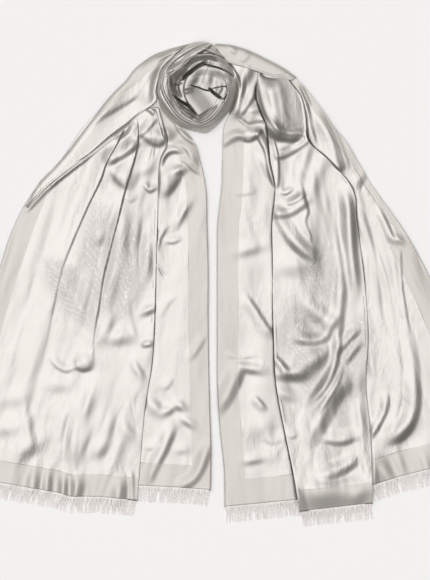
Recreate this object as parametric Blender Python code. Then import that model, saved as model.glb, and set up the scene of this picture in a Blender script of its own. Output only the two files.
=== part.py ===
"""Evening stole of satin, laid flat with one closed turn round an empty neck.

The plan is set out in millimetres. "Across" runs to the right from the middle of the
laid-out cloth, and "down" runs from the top edge of the neck coil towards the hems.
Every panel is one wall of cloth whose underside follows what lies below it.
"""

import math

import bmesh
import bpy
import numpy as np

# Driving dimensions, in millimetres
CLOTH_WALL = 1.2
LAYER_GAP = 0.4
LAYER_PITCH = CLOTH_WALL + LAYER_GAP
SEAM_GAP = 0.5
COIL_CLEARANCE = 1.6
BORDER_CLEARANCE = 0.6
FOLD_EDGE_WALL = 2.2
FOLD_EDGE_REACH = 6.0
FOLD_EDGE_START = 45.0
LAYER_MARGIN = 16.0
LAYER_RAMP = 14.0
FRINGE_LENGTH = 25.0
FRINGE_ROOT = 3.0
FRINGE_PITCH = 3.75
FRINGE_TIP_CLEARANCE = 0.3
COIL_CENTRE = (-36.0, 80.0)
COIL_WRAP_WIDTH = 13.5
COIL_INNER_WIDTH = 11.5
COIL_WRAP_HEIGHT = 27.0
COIL_INNER_HEIGHT = 22.0
CROWN_HEIGHT = 17.0

# The plan's place in the model's own frame, which has the middle of the floor as origin
PLAN_MIDDLE_ACROSS = -5.82
PLAN_MIDDLE_DOWN = 411.38
MILLIMETRE = 0.001

# Sides of the two panels of the left end: down, outline, inner_edge (the fold that lies
# on the inner panel), tuck (the inner panel's hidden side) and selvedge
LEFT_END_ROWS = (
    (112.0, -202.0, -105.0, -112.0, -92.0),
    (143.0, -231.0, -97.0, -108.0, -67.5),
    (167.0, -248.0, -90.0, -106.0, -46.0),
    (201.0, -271.0, -102.0, -122.0, -33.0),
    (252.0, -316.0, -105.0, -133.0, -24.0),
    (311.0, -349.0, -107.0, -144.0, -22.0),
    (384.0, -374.0, -109.0, -159.0, -20.0),
    (456.0, -396.0, -111.0, -175.0, -20.0),
    (546.0, -422.0, -116.0, -197.0, -19.0),
    (626.0, -444.0, -128.0, -219.0, -17.0),
    (694.0, -461.0, -134.0, -233.0, -15.0),
    (790.0, -480.0, -142.0, -245.0, -17.0),
)

# Sides of the three panels of the right end: down, selvedge, inner_tuck, middle_left,
# middle_right, outer_tuck, outline
RIGHT_END_ROWS = (
    (34.0, 17.0, 73.0, 65.0, 108.0, 100.0, 82.0),
    (64.0, 29.5, 72.0, 64.0, 116.0, 108.0, 130.0),
    (95.0, 28.5, 71.0, 63.0, 138.0, 128.0, 158.0),
    (122.0, 15.5, 81.0, 72.0, 145.0, 133.0, 178.0),
    (143.0, 7.0, 90.0, 80.0, 146.0, 132.0, 192.0),
    (167.0, 5.0, 95.0, 83.0, 149.0, 134.0, 212.0),
    (201.0, 4.0, 108.0, 86.0, 184.0, 154.0, 233.0),
    (243.0, 3.0, 122.0, 94.0, 221.0, 182.0, 258.0),
    (311.0, -4.0, 128.0, 89.0, 233.0, 190.0, 306.0),
    (371.0, -5.0, 130.0, 90.0, 241.0, 195.0, 342.0),
    (439.0, -5.0, 134.0, 90.0, 248.0, 200.0, 374.0),
    (507.0, -5.0, 138.0, 92.0, 251.0, 202.0, 401.0),
    (575.0, -5.0, 144.0, 95.0, 248.0, 198.0, 427.0),
    (660.0, 0.0, 160.0, 110.0, 255.0, 204.0, 455.0),
    (728.0, 7.0, 176.0, 124.0, 258.0, 208.0, 476.0),
    (800.0, 8.0, 188.0, 136.0, 259.0, 210.0, 490.0),
)

# Hem lines: across, down
HEMS = {
    "left_outer": (
        (-480.0, 727.0), (-374.0, 750.0), (-306.0, 762.0), (-272.0, 768.0),
        (-255.0, 774.0), (-204.0, 774.0), (-130.0, 781.0),
    ),
    "left_inner": ((-250.0, 752.0), (-141.0, 755.0), (-76.0, 758.0), (-10.0, 763.0)),
    "right_inner": ((0.0, 792.0), (133.0, 779.0), (200.0, 775.0)),
    "right_middle": ((130.0, 799.0), (204.0, 791.0), (262.0, 784.0)),
    "right_outer": (
        (205.0, 758.0), (258.0, 755.0), (301.0, 741.0), (357.0, 727.0),
        (408.0, 705.0), (470.0, 668.0),
    ),
}

# The folded-over border along the left shoulder: outline and lower edge, both as
# across, down, from the coil to the tip
SHOULDER_BAND_ROWS = (
    (-51.0, 2.5, -50.0, 6.0),
    (-68.0, 6.5, -66.5, 13.0),
    (-88.0, 12.5, -81.0, 26.0),
    (-116.0, 24.0, -97.0, 43.0),
    (-143.0, 44.0, -104.5, 62.0),
    (-160.0, 66.0, -109.0, 84.0),
    (-180.0, 86.0, -109.5, 102.0),
    (-196.0, 104.0, -136.0, 122.0),
    (-212.0, 125.0, -160.0, 145.0),
    (-228.0, 146.0, -190.0, 166.0),
    (-245.0, 168.0, -221.0, 192.0),
    (-262.0, 190.0, -245.0, 208.0),
    (-284.0, 215.0, -272.0, 228.0),
    (-308.0, 240.0, -298.0, 250.0),
    (-331.0, 278.0, -326.0, 282.0),
)

# The folded-over border along the right shoulder: outline and lower edge
SHOULDER_FLAP_ROWS = (
    (-2.0, 2.5, -1.0, 7.0),
    (14.0, 5.0, 6.0, 17.0),
    (37.0, 10.5, 20.0, 29.0),
    (56.0, 18.0, 39.0, 39.0),
    (80.0, 30.0, 63.0, 50.0),
    (107.0, 44.0, 92.0, 59.0),
    (130.0, 60.0, 122.0, 65.5),
)

# Large soft folds that lift the cloth: panel, start and end of the crest (across, down),
# half_width, height
SOFT_FOLDS = (
    ("left_outer_panel", -139.0, 150.0, -158.0, 260.0, 9.0, 3.0),
    ("left_outer_panel", -158.0, 260.0, -210.0, 520.0, 11.0, 3.0),
    ("left_outer_panel", -172.0, 170.0, -232.0, 310.0, 10.0, 3.0),
    ("left_outer_panel", -232.0, 310.0, -300.0, 500.0, 12.0, 2.5),
    ("left_outer_panel", -268.0, 660.0, -282.0, 745.0, 11.0, 3.0),
    ("left_inner_panel", -60.0, 560.0, -88.0, 690.0, 14.0, 2.5),
    ("right_middle_panel", 96.0, 98.0, 112.0, 132.0, 18.5, 13.0),
    ("right_outer_panel", 283.0, 440.0, 300.0, 650.0, 13.0, 5.0),
    ("right_outer_panel", 318.0, 400.0, 345.0, 600.0, 16.0, 4.0),
    ("right_middle_panel", 165.0, 590.0, 228.0, 690.0, 13.0, 3.0),
)

# The coil's outer radius by angle, anticlockwise from the right
COIL_OUTLINE = (
    (66.0, 79.0), (95.0, 79.0), (120.0, 71.0), (143.0, 68.0), (164.0, 68.5),
    (188.0, 71.0), (207.0, 68.0), (221.0, 67.5), (239.0, 69.0), (253.0, 71.0),
    (267.0, 72.0), (279.0, 75.5), (293.0, 70.0), (312.0, 64.5), (331.0, 62.5),
    (366.0, 63.0), (392.0, 66.0), (410.0, 68.0), (424.0, 76.0),
)
COIL_START_ANGLE = 68.0
COIL_END_ANGLE = 422.0
COIL_STATIONS = 44

SATIN = (0.80, 0.775, 0.745)
BORDER = (0.62, 0.605, 0.57)
THREAD = (0.84, 0.80, 0.77)


def column(rows, index, down):
    """Value of one column of a table at a distance down."""
    table = np.array(rows)
    return float(np.interp(down, table[:, 0], table[:, index]))


def hem_line(name, across):
    """Distance down of a hem at a place across."""
    table = np.array(HEMS[name])
    return float(np.interp(across, table[:, 0], table[:, 1]))


def ease(value):
    """Smooth step from 0 to 1."""
    value = min(max(value, 0.0), 1.0)
    return value * value * (3.0 - 2.0 * value)


def relief(panels, across, down):
    """Height of the large soft folds of the named panels."""
    height = 0.0
    for row in SOFT_FOLDS:
        owner, start_across, start_down, end_across, end_down, half_width, crest = row
        if owner not in panels:
            continue
        run = np.array((end_across - start_across, end_down - start_down))
        offset = np.array((across - start_across, down - start_down))
        along = float(np.dot(offset, run) / np.dot(run, run))
        nearest = min(max(along, 0.0), 1.0)
        distance = float(np.linalg.norm(offset - nearest * run))
        side = ease(1.0 - distance / (2.0 * half_width))
        ends = ease(min(nearest, 1.0 - nearest) * 4.0 + 0.5)
        height = max(height, crest * side * ends)
    return height


def cover(across, down, left, right, top, bottom):
    """How fully a panel with these sides lies under a place, fading outside it."""
    outside = max(left - across, across - right, top - down, down - bottom)
    return ease(1.0 - (outside - LAYER_MARGIN) / LAYER_RAMP)


def left_inner_cover(across, down):
    """Share of the left inner panel and its fringe under a place."""
    left = column(LEFT_END_ROWS, 3, down)
    right = column(LEFT_END_ROWS, 4, down)
    return cover(across, down, left, right, LEFT_END_ROWS[0][0], 790.0)


def left_outer_cover(across, down):
    """Share of the left outer panel under a place."""
    left = column(LEFT_END_ROWS, 1, down)
    right = column(LEFT_END_ROWS, 2, down)
    return cover(across, down, left, right, LEFT_END_ROWS[0][0], 800.0)


def right_side_cover(across, down):
    """Share of the two outer right panels and their fringes under a place."""
    selvedge = column(RIGHT_END_ROWS, 1, down)
    inner_tuck = column(RIGHT_END_ROWS, 2, down)
    outer_tuck = column(RIGHT_END_ROWS, 5, down)
    outline = column(RIGHT_END_ROWS, 6, down)
    top = RIGHT_END_ROWS[0][0]
    inner = cover(across, down, selvedge, inner_tuck, top, 820.0)
    outer = cover(across, down, outer_tuck, outline, top, 785.0)
    return max(inner, outer)


def right_middle_cover(across, down):
    """Share of the right middle panel under a place."""
    left = column(RIGHT_END_ROWS, 3, down)
    right = column(RIGHT_END_ROWS, 4, down)
    return cover(across, down, left, right, RIGHT_END_ROWS[0][0], 820.0)


def coil_radius(angle):
    """Outer radius of the neck coil at an angle in degrees."""
    table = np.array(COIL_OUTLINE)
    turn = (angle - COIL_OUTLINE[0][0]) % 360.0 + COIL_OUTLINE[0][0]
    return float(np.interp(turn, table[:, 0], table[:, 1]))


def beside_coil(across, down):
    """The place itself, or the nearest one that is clear of the neck coil."""
    right = across - COIL_CENTRE[0]
    up = COIL_CENTRE[1] - down
    distance = math.hypot(right, up)
    needed = coil_radius(math.degrees(math.atan2(up, right))) + COIL_CLEARANCE
    if distance >= needed:
        return across, down
    scale = needed / max(distance, 1.0)
    return COIL_CENTRE[0] + right * scale, COIL_CENTRE[1] - up * scale


def base_height(layers, panels, across, down):
    """Height of the underside of a piece that lies on these layers and soft folds."""
    stacked = sum(layer(across, down) for layer in layers)
    return relief(panels, across, down) + LAYER_PITCH * stacked


def to_model(across, down, height):
    """Point of the plan in the model's frame, in metres."""
    return (
        (across - PLAN_MIDDLE_ACROSS) * MILLIMETRE,
        (PLAN_MIDDLE_DOWN - down) * MILLIMETRE,
        height * MILLIMETRE,
    )


def make_object(name, vertices, faces, colour, roughness):
    """Object with its own material from plan points and faces, faces pointing out."""
    mesh = bpy.data.meshes.new(name)
    mesh.from_pydata([to_model(*point) for point in vertices], [], faces)
    shape = bmesh.new()
    shape.from_mesh(mesh)
    bmesh.ops.recalc_face_normals(shape, faces=shape.faces)
    bmesh.ops.triangulate(shape, faces=shape.faces)
    shape.to_mesh(mesh)
    shape.free()
    mesh.shade_smooth()
    mesh.set_sharp_from_angle(angle=math.radians(40.0))
    material = bpy.data.materials.new(name + "_material")
    material.use_nodes = True
    shader = material.node_tree.nodes["Principled BSDF"]
    shader.inputs["Base Color"].default_value = (*colour, 1.0)
    shader.inputs["Roughness"].default_value = roughness
    shader.inputs["Metallic"].default_value = 0.0
    mesh.materials.append(material)
    piece = bpy.data.objects.new(name, mesh)
    bpy.context.scene.collection.objects.link(piece)
    return piece


def wall_from_grid(name, tops, undersides, colour, roughness):
    """Closed wall between two grids of plan points with the same rows and columns."""
    rows = len(tops)
    columns = len(tops[0])
    vertices = [point for row in tops for point in row]
    vertices += [point for row in undersides for point in row]
    under = rows * columns

    def top_index(row, place):
        return row * columns + place

    faces = []
    for row in range(rows - 1):
        for place in range(columns - 1):
            corners = [
                top_index(row, place),
                top_index(row, place + 1),
                top_index(row + 1, place + 1),
                top_index(row + 1, place),
            ]
            faces.append(corners)
            faces.append([under + corner for corner in reversed(corners)])
    rim = [top_index(0, place) for place in range(columns)]
    rim += [top_index(row, columns - 1) for row in range(1, rows)]
    rim += [top_index(rows - 1, place) for place in range(columns - 2, -1, -1)]
    rim += [top_index(row, 0) for row in range(rows - 2, 0, -1)]
    for place, corner in enumerate(rim):
        following = rim[(place + 1) % len(rim)]
        faces.append([following, corner, under + corner, under + following])
    return make_object(name, vertices, faces, colour, roughness)


def panel(name, rows, sides, hem, top, layers, folded_sides, size):
    """Panel of one end of the stole, between two columns of its table and its hem.

    The wall thickens into a rounded edge at each side that is a fold. The corners of
    the hem, as across and down, are returned for the fringe.
    """
    left_column, right_column = sides
    row_count, column_count = size
    tops = []
    undersides = []
    for row in range(row_count + 1):
        fall = row / row_count
        top_row = []
        under_row = []
        for place in range(column_count + 1):
            share = 0.5 - 0.5 * math.cos(math.pi * place / column_count)
            share = 0.45 * share + 0.55 * place / column_count
            down = top + fall * (hem_line(hem, 0.0) - top)
            for _ in range(6):
                left = column(rows, left_column, down)
                right = column(rows, right_column, down)
                across = left + share * (right - left)
                down = top + fall * (hem_line(hem, across) - top)
            across, down = beside_coil(across, down)
            height = base_height(layers, (name,), across, down)
            edge_distance = 1e9
            if folded_sides[0]:
                edge_distance = min(edge_distance, across - left)
            if folded_sides[1]:
                edge_distance = min(edge_distance, right - across)
            near_fold = ease(1.0 - edge_distance / FOLD_EDGE_REACH)
            near_fold *= ease((down - top - FOLD_EDGE_START) / FOLD_EDGE_START)
            wall = CLOTH_WALL + (FOLD_EDGE_WALL - CLOTH_WALL) * near_fold
            top_row.append((across, down, height + wall))
            under_row.append((across, down, height))
        tops.append(top_row)
        undersides.append(under_row)
    wall_from_grid(name, tops, undersides, SATIN, 0.35)
    return [point[:2] for point in tops[-1]]


def border_fold(name, edge_rows, layers, panels, column_count, extra_stations):
    """Narrow border folded over a shoulder, between its outline and its lower edge."""
    table = np.array(edge_rows)
    stations = np.linspace(0.0, len(table) - 1.0, extra_stations)
    tops = []
    undersides = []
    for station in stations:
        edges = [np.interp(station, np.arange(len(table)), table[:, i]) for i in range(4)]
        outline = np.array(edges[:2])
        lower = np.array(edges[2:])
        top_row = []
        under_row = []
        for place in range(column_count + 1):
            share = place / column_count
            across, down = beside_coil(*(outline + share * (lower - outline)))
            height = base_height(layers, panels, across, down) + BORDER_CLEARANCE
            top_row.append((across, down, height + FOLD_EDGE_WALL))
            under_row.append((across, down, height))
        tops.append(top_row)
        undersides.append(under_row)
    return wall_from_grid(name, tops, undersides, BORDER, 0.55)


def coil_point(angle, radius, height):
    """Plan point at an angle and radius round the middle of the coil."""
    turn = math.radians(angle)
    across = COIL_CENTRE[0] + radius * math.cos(turn)
    down = COIL_CENTRE[1] - radius * math.sin(turn)
    return (across, down, height)


def coil_wrap(name, inset, width, height, colour):
    """One rolled turn of the stole round the neck, flat below and rounded above."""
    profile = (
        (0.0, 0.0), (0.0, 0.45), (0.14, 0.8), (0.42, 1.0),
        (0.72, 0.93), (0.94, 0.7), (1.0, 0.4), (1.0, 0.0),
    )
    vertices = []
    for station in range(COIL_STATIONS + 1):
        share = station / COIL_STATIONS
        angle = COIL_START_ANGLE + share * (COIL_END_ANGLE - COIL_START_ANGLE)
        outer = coil_radius(angle) - inset
        tuck = 0.55 + 0.45 * ease(min(share, 1.0 - share) * 8.0)
        for inward, lift in profile:
            vertices.append(coil_point(angle, outer - inward * width, lift * height * tuck))
    count = len(profile)
    faces = []
    for station in range(COIL_STATIONS):
        for place in range(count):
            following = (place + 1) % count
            here = station * count
            ahead = here + count
            faces.append([here + place, here + following, ahead + following, ahead + place])
    faces.append(list(range(count)))
    faces.append(list(range(COIL_STATIONS * count, (COIL_STATIONS + 1) * count)))
    return make_object(name, vertices, faces, colour, 0.4)


def crown_height(angle, share):
    """Height of the crumpled cloth inside the coil, at a share of its radius."""
    puff = 3.5 * math.sin(math.radians(2.0 * angle)) * share
    ripple = 1.5 * math.sin(math.radians(5.0 * angle)) * share * share
    return CROWN_HEIGHT - 4.0 * share * share + puff + ripple


def coil_crown():
    """Crumpled cloth that closes the neck, and the hidden layers that bear it."""
    rings = 6
    spokes = 28
    inset = COIL_WRAP_WIDTH + COIL_INNER_WIDTH + 2.0 * SEAM_GAP
    for name, drop, wall in (
        ("neck_crown", 0.0, CLOTH_WALL),
        ("neck_hidden_layers", LAYER_PITCH, None),
    ):
        upper = [coil_point(0.0, 0.0, crown_height(0.0, 0.0) - drop)]
        lower = [coil_point(0.0, 0.0, 0.0 if wall is None else upper[0][2] - wall)]
        for ring in range(1, rings + 1):
            share = ring / rings
            for spoke in range(spokes):
                angle = 360.0 * spoke / spokes
                turn = angle if angle >= COIL_START_ANGLE - 2.0 else angle + 360.0
                radius = share * (coil_radius(turn) - inset)
                height = crown_height(angle, share) - drop
                upper.append(coil_point(angle, radius, height))
                bottom = 0.0 if wall is None else height - wall
                lower.append(coil_point(angle, radius, bottom))
        base = len(upper)
        faces = []
        for spoke in range(spokes):
            following = (spoke + 1) % spokes
            faces.append([0, 1 + spoke, 1 + following])
            faces.append([base, base + 1 + following, base + 1 + spoke])
            for ring in range(rings - 1):
                inner = 1 + ring * spokes
                outer = inner + spokes
                quad = [inner + spoke, outer + spoke, outer + following, inner + following]
                faces.append(quad)
                faces.append([base + corner for corner in reversed(quad)])
            rim = 1 + (rings - 1) * spokes
            faces.append([rim + spoke, base + rim + spoke, base + rim + following, rim + following])
        make_object(name, upper + lower, faces, SATIN, 0.35)


def fringe(name, hem, start, end, layers):
    """Fringed locks along a panel's hem, their roots fused into one narrow strip."""
    corners_across = [point[0] for point in hem]
    corners_down = [point[1] for point in hem]

    def edge(across):
        return float(np.interp(across, corners_across, corners_down))

    count = int(abs(end - start) / FRINGE_PITCH)
    vertices = []
    for station in range(count + 1):
        across = start + (end - start) * station / count
        hem_down = edge(across)
        for reach in (SEAM_GAP, SEAM_GAP + FRINGE_ROOT):
            height = base_height(layers, (), across, hem_down + reach)
            vertices.append((across, hem_down + reach, height + CLOTH_WALL))
            vertices.append((across, hem_down + reach, height))
    faces = []
    for station in range(count):
        here = 4 * station
        ahead = here + 4
        faces.append([here, ahead, ahead + 2, here + 2])
        faces.append([here + 1, here + 3, ahead + 3, ahead + 1])
        faces.append([here, here + 1, ahead + 1, ahead])
        middle = start + (end - start) * (station + 0.5) / count
        sway = 1.6 * math.sin(1.9 * station) + 0.8 * math.sin(0.6 * station)
        reach = FRINGE_LENGTH * (0.93 + 0.07 * math.sin(2.7 * station))
        slope = (edge(middle + 8.0) - edge(middle - 8.0)) / 16.0
        length = math.hypot(1.0, slope)
        tip_across = middle + sway - reach * slope / length
        tip_down = edge(middle) + reach / length
        height = base_height(layers, (), tip_across, tip_down) + FRINGE_TIP_CLEARANCE
        tip = len(vertices)
        vertices.append((tip_across, tip_down, height))
        corners = [here + 2, here + 3, ahead + 3, ahead + 2]
        for place in range(4):
            faces.append([corners[place], corners[(place + 1) % 4], tip])
    last = 4 * count
    faces.append([0, 2, 3, 1])
    faces.append([last, last + 1, last + 3, last + 2])
    return make_object(name, vertices, faces, THREAD, 0.7)


def clear_scene():
    """Remove every object of the scene."""
    for piece in list(bpy.data.objects):
        bpy.data.objects.remove(piece, do_unlink=True)


def build():
    """Build every stretch of the stole."""
    clear_scene()
    hems = {
        "left_inner": panel(
            "left_inner_panel", LEFT_END_ROWS, (3, 4), "left_inner", 119.0,
            (), (False, False), (22, 7)),
        "left_outer": panel(
            "left_outer_panel", LEFT_END_ROWS, (1, 2), "left_outer", 119.0,
            (left_inner_cover,), (False, True), (26, 18)),
        "right_inner": panel(
            "right_inner_panel", RIGHT_END_ROWS, (1, 2), "right_inner", 36.0,
            (), (False, False), (24, 7)),
        "right_outer": panel(
            "right_outer_panel", RIGHT_END_ROWS, (5, 6), "right_outer", 52.0,
            (), (False, False), (24, 12)),
        "right_middle": panel(
            "right_middle_panel", RIGHT_END_ROWS, (3, 4), "right_middle", 52.0,
            (right_side_cover,), (True, True), (26, 12)),
    }
    border_fold("left_shoulder_border", SHOULDER_BAND_ROWS,
                (left_inner_cover, left_outer_cover), ("left_outer_panel",), 4, 20)
    border_fold("right_shoulder_border", SHOULDER_FLAP_ROWS,
                (right_side_cover, right_middle_cover), ("right_middle_panel",), 4, 13)
    coil_wrap("neck_outer_wrap", 0.0, COIL_WRAP_WIDTH, COIL_WRAP_HEIGHT, BORDER)
    coil_wrap("neck_inner_wrap", COIL_WRAP_WIDTH + SEAM_GAP, COIL_INNER_WIDTH,
              COIL_INNER_HEIGHT, SATIN)
    coil_crown()
    fringe("left_outer_fringe", hems["left_outer"], -479.0, -143.0, (left_inner_cover,))
    fringe("left_inner_fringe", hems["left_inner"], -150.0, -17.0, ())
    fringe("right_inner_fringe", hems["right_inner"], 8.0, 150.0, ())
    fringe("right_middle_fringe", hems["right_middle"], 136.0, 258.0, (right_side_cover,))
    fringe("right_outer_fringe", hems["right_outer"], 250.0, 460.0, ())


build()
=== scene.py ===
"""Looks of the evening stole: satin panels, woven borders, neck coil, fringes and light.

The plan is set out in steps of 1.7 mm. "Across" runs to the right and "down" runs from
the neck coil towards the hems, both from the upper left corner of the picture's frame.
Heights, widths and thicknesses are in millimetres.
"""

import logging
import math
from dataclasses import dataclass
from enum import Enum

import bpy
import numpy as np
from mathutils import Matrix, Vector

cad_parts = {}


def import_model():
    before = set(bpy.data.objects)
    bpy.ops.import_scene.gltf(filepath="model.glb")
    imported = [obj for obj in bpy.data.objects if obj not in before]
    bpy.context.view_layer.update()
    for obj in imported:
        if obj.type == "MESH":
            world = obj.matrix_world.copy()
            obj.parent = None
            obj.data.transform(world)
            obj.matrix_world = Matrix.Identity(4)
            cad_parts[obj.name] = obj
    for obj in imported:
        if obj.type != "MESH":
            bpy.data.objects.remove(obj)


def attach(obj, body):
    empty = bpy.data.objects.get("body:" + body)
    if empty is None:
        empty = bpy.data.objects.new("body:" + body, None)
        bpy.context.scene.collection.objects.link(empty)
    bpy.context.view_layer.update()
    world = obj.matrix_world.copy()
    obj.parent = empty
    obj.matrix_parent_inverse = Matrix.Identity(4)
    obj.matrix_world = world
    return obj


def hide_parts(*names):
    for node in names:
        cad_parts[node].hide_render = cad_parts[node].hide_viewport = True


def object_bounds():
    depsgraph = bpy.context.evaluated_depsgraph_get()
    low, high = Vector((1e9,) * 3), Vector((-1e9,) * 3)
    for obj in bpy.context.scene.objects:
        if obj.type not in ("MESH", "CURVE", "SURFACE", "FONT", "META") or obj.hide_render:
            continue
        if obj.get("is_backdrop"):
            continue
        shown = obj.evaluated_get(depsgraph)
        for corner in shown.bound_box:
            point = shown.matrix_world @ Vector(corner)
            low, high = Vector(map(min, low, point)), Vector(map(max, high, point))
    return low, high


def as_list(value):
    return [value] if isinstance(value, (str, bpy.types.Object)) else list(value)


LOG = logging.getLogger("evening stole")

# One step of the plan, and the plan's place in the frame
STEP = 0.0017
MILLIMETRE = 0.001
MM_PER_STEP = STEP / MILLIMETRE
PLAN_MIDDLE_ACROSS = 216.58
PLAN_MIDDLE_DOWN = 283.99
FRAME_STEPS = (430.0, 580.0)

# Cloth, in millimetres
LAYER_PITCH = 1.25
LAYER_MARGIN = 16.0
LAYER_RAMP = 40.0
CLOTH = 0.5
FLOOR_LIFT = 0.65
GRID = 2.35

# Folded edges, in millimetres: radius, width that the fold lifts, angles and run of the tuck
FOLD_ROLL = 0.45
FOLD_REACH = 30.0
ROLL_TURNS = (50.0, 90.0, 130.0, 180.0)
TUCK_RUN = (1.5, 3.0, 4.5)

# How the relief fades out below other pieces, in millimetres
COIL_CLEARANCE = 1.0
COIL_FADE = 7.0
COVERED_REACH = 7.0
BAND_REACH = 8.0
COVERED_FADE = 12.0
BAND_SLANT = 0.8
RELIEF_SOFTNESS = 2.0

# Woven border, in metres
BORDER_WIDTH = 0.038
BORDER_EDGE = 0.0006
LEAST_DISTANCE = 0.002

# Samples between a path's knots, rounds that settle a grid, and a far and a tiny value
KNOT_SAMPLES = 8
GRID_ROUNDS = 8
FAR = 1e9
TINY = 1e-6

# Sides of the left end's panels, in steps: down, outline, inner edge, tuck, selvedge
LEFT_ROWS = np.array((
    (107.9, 101.2, 158.2, 154.1, 165.9),
    (126.1, 84.1, 162.9, 156.5, 180.3),
    (140.2, 74.1, 167.1, 157.6, 192.9),
    (160.2, 60.6, 160.0, 148.2, 200.0),
    (190.2, 34.1, 158.2, 141.8, 205.9),
    (224.9, 14.7, 157.1, 135.3, 207.1),
    (267.9, 0.0, 155.9, 126.5, 208.2),
    (310.2, -12.9, 154.7, 117.1, 208.2),
    (363.2, -28.2, 151.8, 104.1, 208.8),
    (410.2, -41.2, 144.7, 91.2, 210.0),
    (450.2, -51.2, 141.2, 82.9, 211.2),
    (506.7, -62.4, 136.5, 75.9, 210.0),
))

# Sides of the right end's panels, in steps: down, selvedge, inner tuck, middle left,
# middle right, outer tuck, outline
RIGHT_ROWS = np.array((
    (62.0, 224.0, 262.9, 258.2, 283.5, 278.8, 268.2),
    (79.6, 228.0, 262.4, 257.6, 288.2, 283.5, 296.5),
    (97.9, 229.0, 261.8, 257.1, 301.2, 295.3, 312.9),
    (113.8, 229.1, 267.6, 262.4, 305.3, 298.2, 324.7),
    (126.1, 224.1, 272.9, 267.1, 305.9, 297.6, 332.9),
    (140.2, 222.9, 275.9, 268.8, 307.6, 298.8, 344.7),
    (160.2, 222.4, 283.5, 270.6, 328.2, 310.6, 357.1),
    (184.9, 221.8, 291.8, 275.3, 350.0, 327.1, 371.8),
    (224.9, 217.6, 295.3, 272.4, 357.1, 331.8, 400.0),
    (260.2, 217.1, 296.5, 272.9, 361.8, 334.7, 421.2),
    (300.2, 217.1, 298.8, 272.9, 365.9, 337.6, 440.0),
    (340.2, 217.1, 301.2, 274.1, 367.6, 338.8, 455.9),
    (380.2, 217.1, 304.7, 275.9, 365.9, 336.5, 471.2),
    (430.2, 220.0, 314.1, 284.7, 370.0, 340.0, 487.6),
    (470.2, 224.1, 323.5, 292.9, 371.8, 342.4, 500.0),
    (512.6, 224.7, 330.6, 300.0, 372.4, 343.5, 508.2),
))

# Hem lines, in steps: across, down
HEMS = {
    "left_outer": ((-62.4, 469.6), (0.0, 483.2), (40.0, 490.2), (60.0, 493.8),
                   (70.0, 497.3), (100.0, 497.3), (143.5, 501.4)),
    "left_inner": ((72.9, 484.4), (137.1, 486.1), (175.3, 487.9), (214.1, 490.8)),
    "right_inner": ((220.0, 507.9), (298.2, 500.2), (337.6, 497.9)),
    "right_middle": ((296.5, 512.0), (340.0, 507.3), (374.1, 503.2)),
    "right_outer": ((340.6, 487.9), (371.8, 486.1), (397.1, 477.9), (430.0, 469.6),
                    (460.0, 456.7), (496.5, 434.9)),
}

# The border folded over the left shoulder, in steps: outline and lower edge
LEFT_SHOULDER = (
    (190.0, 43.5, 190.6, 45.5), (180.0, 45.8, 180.9, 49.6), (168.2, 49.4, 172.4, 57.3),
    (151.8, 56.1, 162.9, 67.3), (135.9, 67.9, 158.5, 78.5), (125.9, 80.8, 155.9, 91.4),
    (114.1, 92.6, 155.6, 102.0), (104.7, 103.2, 140.0, 113.8), (95.3, 115.5, 125.9, 127.3),
    (85.9, 127.9, 108.2, 139.6), (75.9, 140.8, 90.0, 154.9), (65.9, 153.8, 75.9, 164.4),
    (52.9, 168.5, 60.0, 176.1), (38.8, 183.2, 44.7, 189.1), (25.3, 205.5, 28.2, 207.9),
)

# The border folded over the right shoulder, in steps: outline and lower edge
RIGHT_SHOULDER = (
    (215.8, 43.9, 212.4, 50.1), (228.2, 44.9, 218.5, 57.0), (241.8, 48.2, 228.4, 62.6),
    (252.9, 52.6, 241.9, 66.4), (267.1, 59.6, 257.1, 71.4), (282.9, 67.9, 274.1, 76.7),
    (296.5, 77.3, 291.8, 80.5),
)

# The coil's outer radius in steps, by angle, anticlockwise from the right
COIL_CENTRE = (198.8, 89.1)
COIL_OUTLINE = np.array((
    (66.0, 46.5), (95.0, 46.5), (120.0, 41.8), (143.0, 40.0), (164.0, 40.3),
    (188.0, 41.8), (207.0, 40.0), (221.0, 39.7), (239.0, 40.6), (253.0, 41.8),
    (267.0, 42.4), (279.0, 44.4), (293.0, 41.2), (312.0, 37.9), (331.0, 36.8),
    (366.0, 37.1), (392.0, 38.8), (410.0, 40.0), (424.0, 44.7), (426.0, 46.5),
))

# Angle at which the coil's outline starts, in degrees
SEAM_ANGLE = 66.0

# Stretches that each layer covers: its rows, the columns of its sides, and its ends in steps
COVERS = {
    "left_inner": ((LEFT_ROWS, (3, 4), (107.9, 506.7)),),
    "left_outer": ((LEFT_ROWS, (1, 2), (107.9, 512.6)),),
    "right_sides": ((RIGHT_ROWS, (1, 2), (62.0, 524.4)), (RIGHT_ROWS, (5, 6), (62.0, 503.8))),
    "right_middle": ((RIGHT_ROWS, (3, 4), (62.0, 524.4)),),
}


def smooth_table(table: np.ndarray, index: int, place: np.ndarray) -> np.ndarray:
    """Column of a table, read along a smooth curve through its rows.

    Args:
        table: rows with the place in column 0.
        index: the column that is read.
        place: where it is read.

    Returns:
        The column's values at those places.
    """
    known, value = table[:, 0], table[:, index]
    slope = np.gradient(value, known)
    row = np.clip(np.searchsorted(known, place) - 1, 0, len(known) - 2)
    span = known[row + 1] - known[row]
    t = np.clip((place - known[row]) / span, 0.0, 1.0)
    rise = value[row + 1] - value[row]
    bend = slope[row] * span * t * (1 - t) ** 2 - slope[row + 1] * span * t * t * (1 - t)
    return value[row] + rise * t * t * (3 - 2 * t) + bend


def ease(value: np.ndarray) -> np.ndarray:
    """Smooth step from 0 to 1."""
    value = np.clip(value, 0.0, 1.0)
    return value * value * (3.0 - 2.0 * value)


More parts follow.
